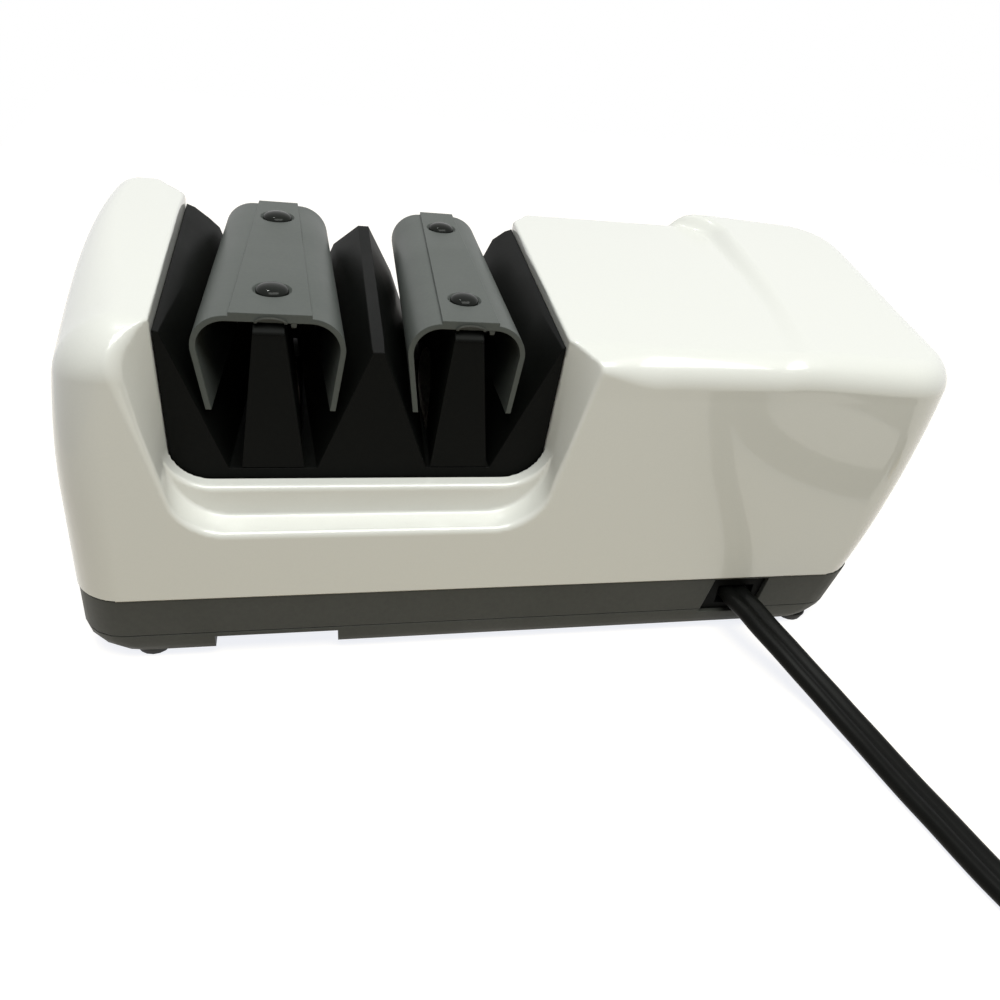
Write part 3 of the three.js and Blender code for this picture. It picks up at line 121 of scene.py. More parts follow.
def stage_floor(left, reach):
    mesh = bpy.data.meshes.new("floor")
    corners = [(-left, -reach, 0), (reach, -reach, 0), (reach, reach, 0), (-left, reach, 0)]
    mesh.from_pydata(corners, [], [(0, 1, 2, 3)])
    floor = bpy.data.objects.new("floor", mesh)
    bpy.context.scene.collection.objects.link(floor)
    material = bpy.data.materials.new("floor")
    material.use_nodes = True
    tree = material.node_tree
    tree.nodes.clear()
    out = tree.nodes.new("ShaderNodeOutputMaterial")
    matt = tree.nodes.new("ShaderNodeBsdfDiffuse")
    matt.inputs["Color"].default_value = FLOOR_TINT
    glow = tree.nodes.new("ShaderNodeEmission")
    glow.inputs["Color"].default_value = FLOOR_GLOW
    link(tree, by_ray(tree, FLOOR_GLOW_STRENGTH, 0.0), glow.inputs["Strength"])
    both = tree.nodes.new("ShaderNodeAddShader")
    link(tree, matt.outputs[0], both.inputs[0])
    link(tree, glow.outputs[0], both.inputs[1])
    link(tree, both.outputs[0], out.inputs["Surface"])
    mesh.materials.append(material)


stage_floor(left=0.25, reach=0.6)


def softbox(name, place_at, aim, width, height, watts, colour, roll=0):
    """A flat lamp of that width and height in metres, facing the point it is aimed at."""
    data = bpy.data.lights.new(name, "AREA")
    data.shape = "RECTANGLE"
    data.size = width
    data.size_y = height
    data.energy = watts
    data.color = colour
    lamp = bpy.data.objects.new(name, data)
    lamp.location = place_at
    facing = (Vector(aim) - Vector(place_at)).to_track_quat("-Z", "Y")
    lamp.rotation_euler = (facing @ Quaternion((0, 0, 1), math.radians(roll))).to_euler()
    bpy.context.scene.collection.objects.link(lamp)


softbox("overhead", (0.08, -0.41, 1.16), (0, 0, 0.05), 1.0, 0.7, 14.7, (0.975, 1, 0.95))
softbox("window", (-0.36, 0.3, 1.2), (-0.07, -0.03, 0.1), 0.03, 0.12, 1.7, (0.98, 1, 0.96), roll=35)


# Materials
NOISE_LOW = 0.3
NOISE_HIGH = 0.7
WEAR_SCALE = 45


def ramp(tree, source, low, high):
    """Maps the span that a noise mostly keeps to onto another one."""
    node = tree.nodes.new("ShaderNodeMapRange")
    node.inputs["From Min"].default_value = NOISE_LOW
    node.inputs["From Max"].default_value = NOISE_HIGH
    node.inputs["To Min"].default_value = low
    node.inputs["To Max"].default_value = high
    link(tree, source, node.inputs["Value"])
    return node.outputs["Result"]


def noise(tree, coordinates, scale, detail=2.0, rough=0.5, stretch=(1, 1, 1)):
    mapping = tree.nodes.new("ShaderNodeMapping")
    mapping.inputs["Scale"].default_value = stretch
    link(tree, coordinates, mapping.inputs["Vector"])
    node = tree.nodes.new("ShaderNodeTexNoise")
    node.inputs["Scale"].default_value = scale
    node.inputs["Detail"].default_value = detail
    node.inputs["Roughness"].default_value = rough
    link(tree, mapping.outputs[0], node.inputs["Vector"])
    return node.outputs["Fac"]


def finish(name, light, dark, rough, grain, edge=0.0, **fixed):
    """A moulded, cast or rolled surface.

    light and dark are the ends of a slight mottle; rough is the range of its roughness; grain is a list of
    (scale per metre, height in metres, stretch) for its bump; edge is the radius its edges are rounded to.
    """
    material = bpy.data.materials.new(name)
    material.use_nodes = True
    tree = material.node_tree
    shader = tree.nodes["Principled BSDF"]
    for socket, value in fixed.items():
        shader.inputs[socket.replace("_", " ")].default_value = value
    where = tree.nodes.new("ShaderNodeTexCoord").outputs["Object"]
    mottle = tree.nodes.new("ShaderNodeMix")
    mottle.data_type = "RGBA"
    mottle.inputs["A"].default_value = (*dark, 1)
    mottle.inputs["B"].default_value = (*light, 1)
    scale, _, stretch = grain[0]
    patches = noise(tree, where, scale / 3, 4, 0.6, stretch)
    link(tree, ramp(tree, patches, 0, 1), mottle.inputs["Factor"])
    link(tree, mottle.outputs["Result"], shader.inputs["Base Color"])
    link(tree, ramp(tree, noise(tree, where, WEAR_SCALE, 3), *rough), shader.inputs["Roughness"])
    normal = None
    if edge:
        bevel = tree.nodes.new("ShaderNodeBevel")
        bevel.samples = 6
        bevel.inputs["Radius"].default_value = edge
        normal = bevel.outputs["Normal"]
    for scale, height, stretch in grain:
        bump = tree.nodes.new("ShaderNodeBump")
        bump.inputs["Strength"].default_value = 1.0
        bump.inputs["Distance"].default_value = height
        link(tree, noise(tree, where, scale, 2, 0.5, stretch), bump.inputs["Height"])
        if normal:
            link(tree, normal, bump.inputs["Normal"])
        normal = bump.outputs["Normal"]
    link(tree, normal, shader.inputs["Normal"])
    return material


EVEN = (1, 1, 1)
looks = {
    "pearl_plastic": finish(
        "pearl", (0.80, 0.80, 0.765), (0.785, 0.785, 0.75), (0.29, 0.33),
        [(5200, 1.6e-6, EVEN), (900, 1.2e-6, EVEN)],
        Coat_Weight=0.7, Coat_Roughness=0.05, Coat_IOR=1.5),
    "charcoal_plastic": finish(
        "charcoal", (0.042, 0.044, 0.037), (0.035, 0.036, 0.031), (0.5, 0.6), [(2200, 1.2e-5, EVEN)],
        edge=0.0006, Specular_IOR_Level=0.35),
    "black_plastic": finish(
        "black_moulding", (0.0042, 0.0046, 0.004), (0.003, 0.0032, 0.0029), (0.42, 0.5),
        [(2600, 6e-6, EVEN)], edge=0.0005, Specular_IOR_Level=0.05),
    "grey_plastic": finish(
        "grey_moulding", (0.088, 0.097, 0.09), (0.08, 0.088, 0.083), (0.4, 0.48), [(2600, 5e-6, EVEN)],
        edge=0.0003, Specular_IOR_Level=0.2),
    "gloss_black": finish(
        "polished_black", (0.0125, 0.0142, 0.0122), (0.0095, 0.0107, 0.0092), (0.06, 0.08),
        [(500, 2e-6, EVEN)], Specular_IOR_Level=0.1),
    "foot_rubber": finish(
        "rubber", (0.014, 0.014, 0.013), (0.01, 0.01, 0.01), (0.7, 0.8),
        [(1500, 1.5e-5, EVEN)], edge=0.0004),
    "cord_jacket": finish(
        "jacket", (0.005, 0.0052, 0.0047), (0.0035, 0.0036, 0.0033), (0.34, 0.44), [(700, 1.2e-5, EVEN)],
        Specular_IOR_Level=0.07),
    "steel": finish(
        "turned_steel", (0.56, 0.57, 0.58), (0.42, 0.43, 0.44), (0.22, 0.34), [(1200, 3e-6, (6, 1, 1))],
        Metallic=1.0),
    "iron": finish(
        "laminations", (0.2, 0.2, 0.21), (0.12, 0.12, 0.13), (0.42, 0.55), [(900, 2e-5, (8, 0.1, 0.1))],
        Metallic=1.0),
    "bronze": finish(
        "sintered_bronze", (0.44, 0.3, 0.15), (0.33, 0.21, 0.1), (0.4, 0.5),
        [(1800, 1e-5, EVEN)], Metallic=1.0),
    "plug_brass": finish(
        "stamped_brass", (0.72, 0.52, 0.22), (0.6, 0.42, 0.17), (0.2, 0.3), [(900, 3e-6, (1, 0.1, 1))],
        edge=0.0003, Metallic=1.0),
    "copper_coil": finish(
        "enamelled_winding", (0.45, 0.18, 0.07), (0.3, 0.1, 0.04), (0.25, 0.35),
        [(600, 1.5e-4, (4, 0.15, 0.15))], Metallic=0.9),
    "abrasive": finish(
        "bonded_grit", (0.36, 0.33, 0.28), (0.16, 0.14, 0.12), (0.55, 0.75),
        [(2600, 6e-5, EVEN)], Metallic=0.35),
}


def smooth_over(obj, degrees):
    """Joins the faceted solid's points and shades it smooth up to that angle."""
    obj.data.polygons.foreach_set("use_smooth", [True] * len(obj.data.polygons))
    weld = obj.modifiers.new("weld", "WELD")
    weld.merge_threshold = 2e-6
    split = obj.modifiers.new("split", "EDGE_SPLIT")
    split.split_angle = math.radians(degrees)


SOLID_CREASE = 32
slot_of = {part["node"]: part["material_slot"] for part in frame["record"]["subparts"]}
for name, obj in nodes.items():
    obj.data.materials.clear()
    obj.data.materials.append(looks[slot_of[name]])
    for custom in [a for a in obj.data.attributes if a.name == "custom_normal"]:
        obj.data.attributes.remove(custom)
    smooth_over(obj, SOLID_CREASE)


def new_piece(name, points, faces, slot, body, *replaced):
    """A smooth-shaded piece that rides on a body, in the place of the nodes that it replaces."""
    mesh = bpy.data.meshes.new(name)
    mesh.from_pydata([tuple(p) for p in points], [], [tuple(f) for f in faces])
    mesh.validate()
    mesh.polygons.foreach_set("use_smooth", [True] * len(mesh.polygons))
    mesh.materials.append(looks[slot])
    obj = bpy.data.objects.new(name, mesh)
    bpy.context.scene.collection.objects.link(obj)
    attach(obj, body)
    if replaced:
        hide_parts(*replaced)
    return obj


def tube_faces(count, rings, inside_out=False):
    """The faces between rings of count points each, and the two that close the ends."""
    faces = []
    for low in range(0, (rings - 1) * count, count):
        for k in range(count):
            j = (k + 1) % count
            faces.append((low + k, low + j, low + count + j, low + count + k))
    faces.append(tuple(range(count))[::-1])
    faces.append(tuple(range((rings - 1) * count, rings * count)))
    if inside_out:
        faces = [(face[0], *face[:0:-1]) for face in faces]
    return faces


# Cord: its free run down to the floor and forward, then the wound rest. Lengths in mm
CORD_EXIT = (113.8, -51.0)
ROUTE = [
    (CORD_EXIT[0] + x, CORD_EXIT[1] + y, z)
    for x, y, z in (
        (0, 0, 14.35), (0.1, -1.6, 14.35), (1.2, -5.2, 14.15), (3, -9.4, 13.7), (5.3, -15.4, 12.6),
        (9.4, -23.4, 10.5), (13.5, -31.4, 8.2), (17.6, -39.4, 6), (21, -47.4, 4.4), (24, -55.4, 3.35),
        (26.4, -63.4, 2.8), (29.1, -73.4, 2.55), (31.9, -83.4, 2.55), (34.5, -93.4, 2.55),
        (36.8, -101.4, 2.55), (43.1, -119.5, 2.55), (49.8, -139.2, 2.55),
    )
]
CORD_WIDTH = 10
CORD_THICK = 5
CORD_GROOVE = 1.45
COIL_OUTER = 57.75
COIL_PITCH = 11.3
COIL_LIFT = 5.8
COIL_TURNS = 1.5
COIL_LEAD = 10
COIL_TAIL = 30
PLUG_MIDDLE = 7.3
PLUG_SQUARENESS = 3.4
FIT = 0.3
FLOOR_GAP = 0.05
SPAN_STEPS = 8
TURN_STEPS = 72
LEAD_STEPS = 11
LEAD_ARC = 130
PLUG_STEPS = 48


def centripetal(points, per_span):
    """A centripetal Catmull-Rom line through the points."""
    points = [np.array(p, float) for p in points]
    points = [2 * points[0] - points[1], *points, 2 * points[-1] - points[-2]]
    line = []
    for p0, p1, p2, p3 in zip(points, points[1:], points[2:], points[3:]):
        d = [max(np.linalg.norm(b - a) ** 0.5, 1e-4) for a, b in ((p0, p1), (p1, p2), (p2, p3))]
        t1 = ((p1 - p0) / d[0] - (p2 - p0) / (d[0] + d[1]) + (p2 - p1) / d[1]) * d[1]
        t2 = ((p2 - p1) / d[1] - (p3 - p1) / (d[1] + d[2]) + (p3 - p2) / d[2]) * d[1]
        for t in np.arange(per_span) / per_span:
            bend = (-3 * p1 + 3 * p2 - 2 * t1 - t2) * t**2
            line.append(p1 + t1 * t + bend + (2 * p1 - 2 * p2 + t1 + t2) * t**3)
    return line + [points[-2]]


def wound_rest(start, heading, per_turn):
    """In along the lower layer, up, out along the upper one and down to the plug in a straight tail."""
    left = np.array([-heading[1], heading[0]])
    middle = start[:2] + COIL_LEAD * heading + COIL_OUTER * left
    first = math.atan2(-left[1], -left[0])
    turns = 2 * COIL_TURNS + 0.5
    wound = turns * 2 * math.pi * (COIL_OUTER - COIL_PITCH * COIL_TURNS / 2)
    upper = CORD_THICK / 2 + FLOOR_GAP + COIL_LIFT
    line = []
    for way in np.linspace(-COIL_LEAD, wound + COIL_TAIL, round(per_turn * turns)):
        within = min(max(way / wound, 0), 1) * turns
        up = min(max(within - COIL_TURNS, 0), 0.5) * 2
        inward = min(within if within < COIL_TURNS else turns - within, COIL_TURNS)
        radius = COIL_OUTER - COIL_PITCH * inward
        angle = first + 2 * math.pi * within
        past = way - within / turns * wound
        fall = (upper - PLUG_MIDDLE) * smooth(past / COIL_TAIL)
        line.append(np.array([
            middle[0] + radius * math.cos(angle) - past * math.sin(angle),
            middle[1] + radius * math.sin(angle) + past * math.cos(angle),
            upper - COIL_LIFT * (1 - up) - fall,
        ]))
    return line


def twin_outline(width, thick, groove, steps):
    """Two round leads side by side, with a groove between them on both sides."""
    reach = (width - thick) / 2
    outline = []
    for way in (1, -1):
        for turned in np.linspace(-LEAD_ARC, LEAD_ARC, steps):
            angle = math.radians(turned) + (0 if way > 0 else math.pi)
            outline.append((way * reach + thick / 2 * math.cos(angle), thick / 2 * math.sin(angle)))
        outline.append((0, way * groove))
    return outline


def sweep(outline, line):
    """Rings of the outline along the line, its wide side kept level, closed at both ends."""
    line = np.array(line)
    tangents = np.gradient(line, axis=0)
    tangents /= np.linalg.norm(tangents, axis=1)[:, None]
    sides = np.stack([-tangents[:, 1], tangents[:, 0], np.zeros(len(line))], axis=1)
    sides /= np.linalg.norm(sides, axis=1)[:, None]
    ups = np.cross(tangents, sides)
    points = [line[i] + u * sides[i] + v * ups[i] for i in range(len(line)) for u, v in outline]
    return points, tube_faces(len(outline), len(line))


free_run = centripetal(ROUTE, SPAN_STEPS)
heading = np.array(ROUTE[-1][:2], float) - np.array(ROUTE[-2][:2], float)
heading /= np.linalg.norm(heading)
start = np.array(ROUTE[-1], float)
start[:2] += FIT * heading
rest = wound_rest(start, heading, TURN_STEPS)
route = free_run + rest[1:]
points, faces = sweep(twin_outline(CORD_WIDTH, CORD_THICK, CORD_GROOVE, LEAD_STEPS), route)
cord = new_piece(
    "flat_cord", [place(*p) for p in points], faces, "cord_jacket", "housing", "cord", "cord_coil")


# Plug: a moulded grip with a soft waist and ribs for the fingers
def super_ring(half_wide, half_tall, power):
    """A ring between an ellipse and a rectangle; a higher power is squarer."""
    ring = []
    for i in range(PLUG_STEPS):
        angle = 2 * math.pi * i / PLUG_STEPS
        c, s = math.cos(angle), math.sin(angle)
        ring.append((
            half_wide * math.copysign(abs(c) ** (2 / power), c),
            half_tall * math.copysign(abs(s) ** (2 / power), s),
        ))
    return ring


def plug_mould(origin, way):
    """Rings along the plug: its neck, its grip and its face, with grooves pressed into neck and grip.

    Each station is a distance along the plug and how far the surface is sunk there.
    """
    across = np.array([way[1], -way[0], 0])
    along = np.array([way[0], way[1], 0])
    spans = (0, 9, 14, 30, 33)
    wides = (6.1, 7.1, 12.3, 13.3, 12.5)
    talls = (4.3, 4.9, 6.5, 7.0, 6.5)
    stations = [(0, 0.9), (0.4, 0.3), (32.6, 0.35), (33, 1)]
    stations += [(at, 0) for at in (1, 9, 10.5, 12, 13, 14, 16, 18, 30, 31.5)]
    for groove in (2.4, 4.6, 6.8, 19.5, 22, 24.5, 27):
        stations += [(groove, 0), (groove + 0.2, 0.4), (groove + 1, 0.4), (groove + 1.2, 0)]
    points = []
    for at, sunk in sorted(stations):
        wide = np.interp(at, spans, wides) - sunk
        tall = np.interp(at, spans, talls) - sunk
        for u, v in super_ring(wide, tall, PLUG_SQUARENESS):
            points.append(origin + at * along + u * across + (0, 0, v))
    return points, tube_faces(PLUG_STEPS, len(stations), inside_out=True)


tail = np.array(rest[-1]) - np.array(rest[-2])
tail[2] = 0
tail /= np.linalg.norm(tail)
points, faces = plug_mould(np.array(rest[-1]) + FIT * tail, tail)
plug = new_piece("plug_grip", [place(*p) for p in points], faces, "cord_jacket", "housing", "plug_body")


# Housing: the moulding, with each of its edges rounded. Lengths in mm
HALF_DEPTH = 54.6
WALL = 2.6
SHELL_BOTTOM = 22.3
LEDGE = 54
LEDGE_FRONT = 47.5
BLOCK_FRONT = 42.9
MOUTH = 54.0

LEFT_END = -77.9
RIGHT_END = 170
RIGHT_BOW = 2
RIGHT_BOW_REACH = 172
RIGHT_SLOPE = 14.4
RIGHT_SLOPE_FROM = 88
RIGHT_SLOPE_TALL = 66
SWELL = 1.4
FRONT_SWELL = 4.4
REAR_SWELL = 3.4
SWELL_FROM = 50
SWELL_TALL = 45
DRAFT = 1
DRAFT_TALL = 63

TOWER_TOP = 98.5
TOWER_RISE = 3.7
TOWER_DIP = 2.4
PANEL_TOP = 97
PANEL_RISE = 2.2
PANEL_DIP = 1.9
HUMP_TOP = 97.4
HUMP_RISE = 6.75
STEP_AT = 121
STEP_WIDE = 7.5

# Radii of the upright corners, at the bottom and the top, and of the top's edges, at two ends of each
LEFT_CORNER = (13, 6)
RIGHT_CORNER = (14, 18)
TOWER_SIDE_EDGE = 11.5
PANEL_SIDE_EDGE = (2.2, 8.5)
REAR_SIDE_EDGE = 5
LEFT_END_EDGE = (15, 4)
RIGHT_END_EDGE = (9.5, 7)
LEFT_RIDGE = (1.3, 2.3)
RIGHT_RIDGE = (1.3, 0.8)

# The trough's sides at the ledge and how far each leans out for each mm up: by the insert, and at the mouth
WELL_LEFT = -51.6
WELL_RIGHT = 46.05
WELL_LEFT_LEAN = 0.029
WELL_RIGHT_LEAN = 0.064
MOUTH_LEFT = -51.17
MOUTH_RIGHT = 46.47
MOUTH_LEAN = 0.25
# The ledge's lower corners, and the second trough below it in front, from its rear to the mouth
LEDGE_LEFT_RADIUS = 10
LEDGE_RIGHT_RADIUS = 11.4
LOWER_FLOOR = (45, 43.7)
LOWER_LEFT_RADIUS = (14, 9.5)
LOWER_RIGHT_RADIUS = (15, 11.5)
LOWER_EDGE = 0.8
LEDGE_EDGE = 1.3
WELL_EDGE = 0.6
MOUTH_EDGE = 0.8
SHARP = 1e-3

# Each screw's place, and the end wall that its rib runs to
SCREWS = ((-66, -33, -78), (-66, 33, -78), (140, -33, 172), (140, 33, 172))
BOSS_RADIUS = 4.4
BOSS_BOTTOM = 14.5
BOSS_TOP = 40
RIB_HALF = 1
SCREW_BORE = 1.8
SCREW_BORE_TOP = 34.3

SWITCH_X = 128
SWITCH_Z = 36
SWITCH_HALF_WIDE = 11.3
SWITCH_HALF_TALL = 8.3
SWITCH_FROM = 42

GRID_LOW = (-79.5, -56, 13.5)
GRID_HIGH = (173.5, 56, 105.5)
GRID_STEP = 0.8
DRAWS = 4
DRAW_REACH = 0.7
SLOPE_REACH = 0.04


def round_max(a, b, radius):
    """The intersection of two forms, its edge rounded to the radius."""
    inner = np.minimum(-radius, np.maximum(a, b))
    return inner + np.hypot(np.maximum(a + radius, 0), np.maximum(b + radius, 0))


def housing_top(x, y):
    """The height of the top: the tower, the panel and the hump, each rising toward the rear."""
    share = np.clip((y + HALF_DEPTH) / (2 * HALF_DEPTH), 0, 1)
    tower_dip = TOWER_DIP * smooth((x + 62) / 13) * smooth((y - 22) / 30)
    panel_dip = PANEL_DIP * smooth((-43 - y) / 11) * smooth((80 - x) / 26)
    tower = TOWER_TOP + TOWER_RISE * share - tower_dip
    panel = PANEL_TOP + PANEL_RISE * share - panel_dip
    hump = HUMP_TOP + HUMP_RISE * share**1.2 - np.maximum(x - STEP_AT, 0) / 20
    sweep_back = np.where(y > 38, -12 * ((y - 38) / 15) ** 2, 0)
    sweep_back = np.where(y < 10, -3.5 * ((y - 10) / 40) ** 2, sweep_back)
    flat = mix(tower, panel, smooth((x + 40) / 60))
    return mix(flat, hump, smooth((x - STEP_AT - sweep_back) / STEP_WIDE + 0.5))


def outer_form(x, y, z):
    """Below zero inside the closed outer form, with its upright corners and its top's edges rounded."""
    across = 1 - (y / HALF_DEPTH) ** 2
    bow = np.where(x < 0, 0, -RIGHT_BOW * across * (x / RIGHT_BOW_REACH) ** 4)
    plan_x = x + bow
    bulge = np.minimum((y / 50) ** 2, 1.2)
    swell = SWELL + np.where(y < 0, FRONT_SWELL, REAR_SWELL) * bulge
    left = LEFT_END + swell * (np.maximum(z - SWELL_FROM, 0) / SWELL_TALL) ** 2
    slope = (np.maximum(RIGHT_SLOPE_FROM - z, 0) / RIGHT_SLOPE_TALL) ** 1.6
    right = RIGHT_END - RIGHT_SLOPE * slope
    half = HALF_DEPTH - np.minimum((z - SHELL_BOTTOM) / DRAFT_TALL, DRAFT)
    middle = (left + right) / 2
    tight = smooth(y / 20) * smooth((z - 60) / 35)
    right_corner = mix(*RIGHT_CORNER, smooth((z - SHELL_BOTTOM) / DRAFT_TALL))
    corner = np.where(plan_x < middle, mix(*LEFT_CORNER, tight), right_corner)
    from_end = np.abs(plan_x - middle) - (right - left) / 2 + corner
    from_side = np.abs(y) - half + corner
    plan = np.hypot(np.maximum(from_end, 0), np.maximum(from_side, 0)) - corner
    plan += np.minimum(np.maximum(from_end, from_side), 0)
    along_end = smooth((from_end - from_side) / 30 + 0.5)
    rearward = np.clip(y / HALF_DEPTH + 0.2, 0, 1)
    side_edge = np.where(x < 0, TOWER_SIDE_EDGE, mix(*PANEL_SIDE_EDGE, smooth((x - 52) / 22)))
    side_edge = mix(side_edge, REAR_SIDE_EDGE, rearward)
    left_edge = mix(*LEFT_END_EDGE, smooth((y + 40) / 95))
    end_edge = np.where(plan_x < middle, left_edge, mix(*RIGHT_END_EDGE, rearward))
    return round_max(plan, z - housing_top(x, y), mix(side_edge, end_edge, along_end))


def trough_u(x, z, left, right, left_lean, right_lean, floor, left_radius, right_radius):
    """Below zero inside a U whose side lines pass left and right at the ledge's height."""
    left_way = left - left_lean * (z - LEDGE) - x
    right_way = x - right - right_lean * (z - LEDGE)
    under = floor - z
    return np.maximum(round_max(left_way, under, left_radius), round_max(right_way, under, right_radius))


def housing_form(x, y, z):
    """Below zero inside the moulding."""
    depth = np.abs(y)
    share = np.clip((depth - BLOCK_FRONT) / (MOUTH - BLOCK_FRONT), 0, 1.4)
    sides = (
        mix(WELL_LEFT, MOUTH_LEFT, share),
        mix(WELL_RIGHT, MOUTH_RIGHT, share),
        mix(WELL_LEFT_LEAN, MOUTH_LEAN, share),
        mix(WELL_RIGHT_LEAN, MOUTH_LEAN, share),
    )
    mouth = np.clip((depth - LEDGE_FRONT) / (MOUTH - LEDGE_FRONT), 0, 1.4)
    ledge = trough_u(x, z, *sides, LEDGE, LEDGE_LEFT_RADIUS, LEDGE_RIGHT_RADIUS)
    lower_sizes = (mix(*ends, mouth) for ends in (LOWER_FLOOR, LOWER_LEFT_RADIUS, LOWER_RIGHT_RADIUS))
    lower = trough_u(x, z, *sides, *lower_sizes)
    lower = round_max(lower, LEDGE_FRONT - depth, LOWER_EDGE)
    near_ledge = 1 - smooth((z - LEDGE - 1) / 8)
    outer = outer_form(x, y, z)
    cut = -round_max(-ledge, -lower, LEDGE_EDGE * near_ledge + SHARP)
    flare = smooth((depth - 44) / 4)
    left_ridge = mix(*LEFT_RIDGE, smooth((z - 66) / 28))
    right_ridge = mix(*RIGHT_RIDGE, smooth((z - 60) / 12))
    ridge = left_ridge * (x < 0) + right_ridge * (x >= 0)
    body = round_max(outer, -cut, mix(MOUTH_EDGE, ridge, flare))
    cavity = body + WALL
    well_left = WELL_LEFT - WELL_LEFT_LEAN * (z - LEDGE) - x
    well_right = x - WELL_RIGHT - WELL_RIGHT_LEAN * (z - LEDGE)
    well = np.maximum(np.maximum(well_left, well_right), depth - BLOCK_FRONT)
    body = round_max(body, -well, WELL_EDGE * near_ledge + SHARP)
    shell = np.maximum(np.maximum(body, -cavity), SHELL_BOTTOM - z)
    for screw_x, screw_y, end in SCREWS:
        away = np.hypot(x - screw_x, y - screw_y)
        boss = np.maximum(np.maximum(away - BOSS_RADIUS, z - BOSS_TOP), BOSS_BOTTOM - z)
        reach = np.maximum((x - screw_x) * (end - x) * -0.02, outer + 1)
        rib = np.maximum(np.abs(y - screw_y) - RIB_HALF, reach)
        rib = np.maximum(rib, np.maximum(z - BOSS_TOP, SHELL_BOTTOM - z))
        shell = np.minimum(shell, np.minimum(boss, rib))
        shell = np.maximum(shell, -np.maximum(away - SCREW_BORE, z - SCREW_BORE_TOP))
    wide = np.abs(x - SWITCH_X) - SWITCH_HALF_WIDE
    tall = np.abs(z - SWITCH_Z) - SWITCH_HALF_TALL
    opening = np.maximum(np.maximum(wide, tall), SWITCH_FROM - y)
    return np.maximum(shell, -opening)


def steepest(form, points):
    """The outward direction of a form at each point, and how fast it grows there."""
    steps = SLOPE_REACH * np.eye(3)
    rises = [form(*(points + step).T) - form(*(points - step).T) for step in steps]
    slopes = np.stack(rises, axis=1) / (2 * SLOPE_REACH)
    length = np.maximum(np.linalg.norm(slopes, axis=1), 1e-6)
    return slopes / length[:, None], length


def surface_net(form, low, high, step):
    """The zero surface of a form: one point for each grid cell that it crosses, drawn onto it."""
    axes = [np.arange(a, b + step, step) for a, b in zip(low, high)]
    field = form(*np.meshgrid(*axes, indexing="ij", sparse=True))
    inside = field < 0
    cells = sum(
        inside[i:i - 1 or None, j:j - 1 or None, k:k - 1 or None].astype(np.int8)
        for i in (0, 1) for j in (0, 1) for k in (0, 1)
    )
    crossed = (cells > 0) & (cells < 8)
    number = np.full(crossed.shape, -1)
    number[crossed] = np.arange(crossed.sum())
    at = np.argwhere(crossed)
    total = np.zeros((len(at), 3))
    count = np.zeros(len(at))
    for axis in range(3):
        one = np.eye(3, dtype=int)[axis]
        others = [np.eye(3, dtype=int)[a] for a in range(3) if a != axis]
        for u in (0, 1):
            for v in (0, 1):
                start = at + u * others[0] + v * others[1]
                a = field[tuple(start.T)]
                b = field[tuple((start + one).T)]
                cuts = (a < 0) != (b < 0)
                share = np.where(cuts, a / np.where(cuts, a - b, 1), 0)
                total += np.where(cuts[:, None], start + share[:, None] * one, 0)
                count += cuts
    points = np.array(low) + step * total / count[:, None]
    resting = points.copy()
    for _ in range(DRAWS):
        normals, slope = steepest(form, points)
        points -= normals * (form(*points.T) / slope)[:, None]
        points = resting + np.clip(points - resting, -DRAW_REACH * step, DRAW_REACH * step)
    quads = []
    for axis in range(3):
        b, c = (axis + 1) % 3, (axis + 2) % 3
        size = inside.shape
        lows = [slice(1, n - 1) for n in size]
        first = list(lows)
        second = list(lows)
        first[axis] = slice(0, size[axis] - 1)
        second[axis] = slice(1, size[axis])
        here, there = inside[tuple(first)], inside[tuple(second)]
        edges = np.argwhere(here != there)
        outward = here[tuple(edges.T)]
        edges[:, b] += 1
        edges[:, c] += 1
        ring = [edges.copy() for _ in range(4)]
        ring[0][:, b] -= 1
        ring[0][:, c] -= 1
        ring[1][:, c] -= 1
        ring[3][:, b] -= 1
        faces = np.stack([number[tuple(corner.T)] for corner in ring], axis=1)
        quads.append(np.where(outward[:, None], faces, faces[:, ::-1]))
    return points, np.concatenate(quads), steepest(form, points)[0]


points, faces, normals = surface_net(housing_form, GRID_LOW, GRID_HIGH, GRID_STEP)
points = (points + (DIVIDER, 0, 0)) * MM
housing = new_piece("housing_moulding", points, faces, "pearl_plastic", "housing", "upper_housing")
housing.data.normals_split_custom_set_from_vertices(normals.tolist())

# Guide springs: an inverted U of sheet with a raised strip, and a seat in it for each rivet
SPRING_TOP = 99.4
SPRING_WALL = 1.4
SPRING_TIP = 73.6
SPRING_HIP = 91
SHOULDER = 8.5
SHOULDER_STEPS = 15
STRIP_TOP = 100.3
STRIP_EDGE = 0.12
SHEET_CREASE = 30
INSERT_HALF = 42.6
SPRING_HALF = 41.4
SEAT_FLOOR = 99.5
SEAT_GAP = 0.2
SEAT_FLARE = 0.55
SEAT_TOP = 101
BORE = 1.2
BORE_BOTTOM = 97
BORE_TOP = 99.8
BORE_STEPS = 24
SHANK = 0.9
SHANK_BOTTOM = 92.8
HEAD_BOTTOM = 99.55
HEAD_CHAMFER = (0.25, 0.15)
DOME_BOTTOM = 99.95
DOME_RISE = 1.85
DOME_ARC = 11.25
RIVET_STEPS = 48
# Each stage's middle, its half widths at the front and the rear, its strip's and rivets' shift to the
# right, the head's radius and the rivets' places along Y
STAGES = {
    "left": {
        "x": -26.4, "hip": (18.5, 15.4), "tip": (15.9, 10.2), "strip": (9.8, 5.65),
        "shift": 0.55, "rivet": 4.15, "rivets": (-26.6, 27.7),
    },
    "right": {
        "x": 22.6, "hip": (15.35, 13.7), "tip": (13.3, 10.3), "strip": (7.4, 5.15),
        "shift": 0.3, "rivet": 3.8, "rivets": (-27.3, 27.4),
    },
}


